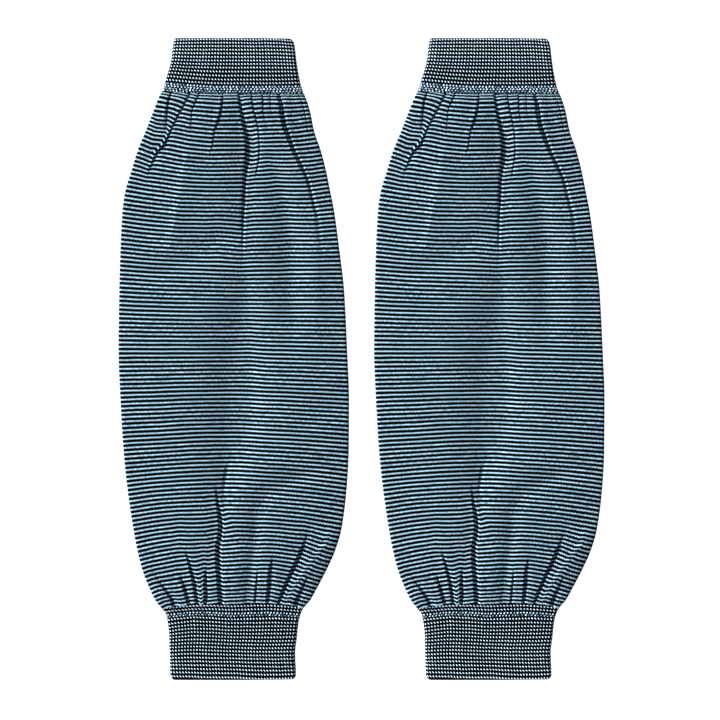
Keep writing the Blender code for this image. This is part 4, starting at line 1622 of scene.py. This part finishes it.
@dataclass
class Sleeve:
    """One sleeve of the pair: its body between its two cuffs."""

    side: Side
    body: GatheredBody
    cuffs: tuple[RibbedCuff, RibbedCuff]
    jersey: bpy.types.Material
    ribs: dict[CuffEnd, bpy.types.Material]

    def piece(
        self, mesh: bpy.types.Mesh, cloth: str, wall: float, finish: bpy.types.Material
    ) -> bpy.types.Object:
        """Place a piece of this sleeve and give it its thickness and its finish.

        Args:
            mesh: The piece on the middle line of the pair, named after its place on the sleeve.
            cloth: What it is made of, for its name.
            wall: The cloth's thickness.
            finish: The cloth's material.

        Returns:
            The finished piece, which stands for its solid.
        """
        node = f"{self.side.value}_{mesh.name}"
        moved = mesh.copy()
        moved.name = f"{node}_{cloth}"
        moved.transform(Matrix.Translation((self.side.shift, 0, 0)))
        moved.materials.append(finish)
        piece = bpy.data.objects.new(moved.name, moved)
        bpy.context.scene.collection.objects.link(piece)
        thickness = piece.modifiers.new("wall", "SOLIDIFY")
        thickness.thickness = wall
        thickness.offset = -1.0
        thickness.use_rim = True
        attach(piece, BODY_FRAME)
        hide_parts(node)
        log.info("%s: %d faces before its wall", piece.name, len(moved.polygons))
        return piece

    def build(self) -> None:
        """Make the three pieces of the sleeve."""
        jersey = self.piece(self.body.mesh, "jersey", self.body.wall, self.jersey)
        around, length = self.body.outline.around(WAIST), LOWER_SEAM - UPPER_CUFF_LENGTH
        for cuff in self.cuffs:
            rib = self.piece(cuff.mesh, "rib", cuff.wall, self.ribs[cuff.end])
            flat = (cuff.outline.around(cuff.middle), cuff.length)


@dataclass
class Studio:
    """A pale floor with its own light, a broad soft light from the left and a camera straight above."""

    floor_size: float = 8.0
    floor_level: float = -0.0003  # just under the sleeves
    camera_place: tuple[float, float, float] = (-0.0003, -0.0006, 1.250)
    lens: float = 100.0  # in millimetres, as the sensor
    sensor: float = 36.0
    world_colour: Colour = (0.77, 1.0, 1.22)
    world_strength: float = 0.26
    key_strength: float = 12.0
    key_elevation: float = math.radians(22)  # of the light from the left, above the floor
    key_turn: float = math.radians(160)  # of its direction, from +X towards +Y
    softness: float = math.radians(14)  # angle over which each light spreads
    floor_light: float = 3.6

    def build(self) -> None:
        """Make the floor, the lights and the camera."""
        self.make_light(self.make_floor())
        self.make_camera()

    def make_floor(self) -> bpy.types.Object:
        """Lay a flat square far larger than the picture.

        Returns:
            The floor.
        """
        bm = bmesh.new()
        bmesh.ops.create_grid(bm, x_segments=1, y_segments=1, size=self.floor_size / 2)
        bmesh.ops.translate(bm, verts=bm.verts, vec=(0, 0, self.floor_level))
        mesh = bpy.data.meshes.new(FLOOR_NAME)
        bm.to_mesh(mesh)
        bm.free()
        mesh.materials.append(FloorPaint().material())
        floor = bpy.data.objects.new(FLOOR_NAME, mesh)
        bpy.context.scene.collection.objects.link(floor)
        log.info("floor: %.1f m square", self.floor_size)
        return floor

    def make_sun(self, name: str, strength: float, towards: Vector) -> bpy.types.Object:
        """Hang a broad light.

        Args:
            name: The light's name.
            strength: Its strength.
            towards: The direction that it comes from.

        Returns:
            The light.
        """
        light = bpy.data.lights.new(name, "SUN")
        light.energy = strength
        light.angle = self.softness
        sun = bpy.data.objects.new(name, light)
        sun.rotation_euler = towards.to_track_quat("Z", "Y").to_euler()
        bpy.context.scene.collection.objects.link(sun)
        return sun

    def make_light(self, floor: bpy.types.Object) -> None:
        """Light the sleeves from all sides and broadly from the left, and the floor from above.

        Args:
            floor: The floor, which the light from the left leaves out.
        """
        world = bpy.data.worlds.new("studio")
        world.use_nodes = True
        background = world.node_tree.nodes["Background"]
        background.inputs["Color"].default_value = (*self.world_colour, 1)
        background.inputs["Strength"].default_value = self.world_strength
        bpy.context.scene.world = world
        level = math.cos(self.key_elevation)
        across, up = math.cos(self.key_turn) * level, math.sin(self.key_turn) * level
        key = self.make_sun("key", self.key_strength, Vector((across, up, math.sin(self.key_elevation))))
        above = self.make_sun("floor_light", self.floor_light, Vector((0, 0, 1)))
        for sun, link_state in ((key, "EXCLUDE"), (above, "INCLUDE")):
            lit = bpy.data.collections.new(sun.name)
            lit.objects.link(floor)
            lit.collection_objects[0].light_linking.link_state = link_state
            sun.light_linking.receiver_collection = lit

    def make_camera(self) -> None:
        """A long lens that looks straight down at the pair."""
        data = bpy.data.cameras.new("camera")
        data.lens = self.lens
        data.sensor_width = self.sensor
        camera = bpy.data.objects.new("camera", data)
        camera.location = self.camera_place
        bpy.context.scene.collection.objects.link(camera)
        bpy.context.scene.camera = camera
        bpy.context.scene.view_settings.view_transform = "Standard"


def main() -> None:
    """Build the studio and both sleeves."""
    Studio().build()
    # edge is painted shade on the rims of the cuffs' dots
    black, white, edge = (0.0006, 0.0008, 0.0010), srgb(226, 250, 255), srgb(38, 88, 128)
    # The third colour of each pair of yarns is painted shade: the pale yarn as it looks deep in shade
    striped = Yarns(pale=srgb(189, 223, 234), dark=black, pale_in_shade=srgb(91, 125, 146))
    upper = Yarns(pale=white, dark=black, pale_in_shade=srgb(16, 44, 66))
    lower = Yarns(pale=white, dark=black, pale_in_shade=srgb(12, 36, 56))
    jersey = StripedJersey(striped).material()
    upper_rib = DottedRib(
        upper, edge, crowded=(12.5, 16.5), slant=-1.0, thinning=0.30, crowded_height=0.29
    )
    lower_rib = DottedRib(
        lower,
        edge,
        crowded=(16.5, 18.5),
        slant=1.0,
        thinning=0.1,
        crowded_height=0.24,
        dot_width=0.175,
        dot_height=0.19,
    )
    ribs = {
        CuffEnd.UPPER: upper_rib.material("upper_rib"),
        CuffEnd.LOWER: lower_rib.material("lower_rib"),
    }
    outline = Outline()
    body = GatheredBody(outline)
    cuffs = (RibbedCuff(CuffEnd.UPPER, outline), RibbedCuff(CuffEnd.LOWER, outline))
    for side in Side:
        Sleeve(side, body, cuffs, jersey, ribs).build()


if __name__ == "__main__":
    logging.basicConfig(level=logging.INFO, format="%(message)s")
    main()
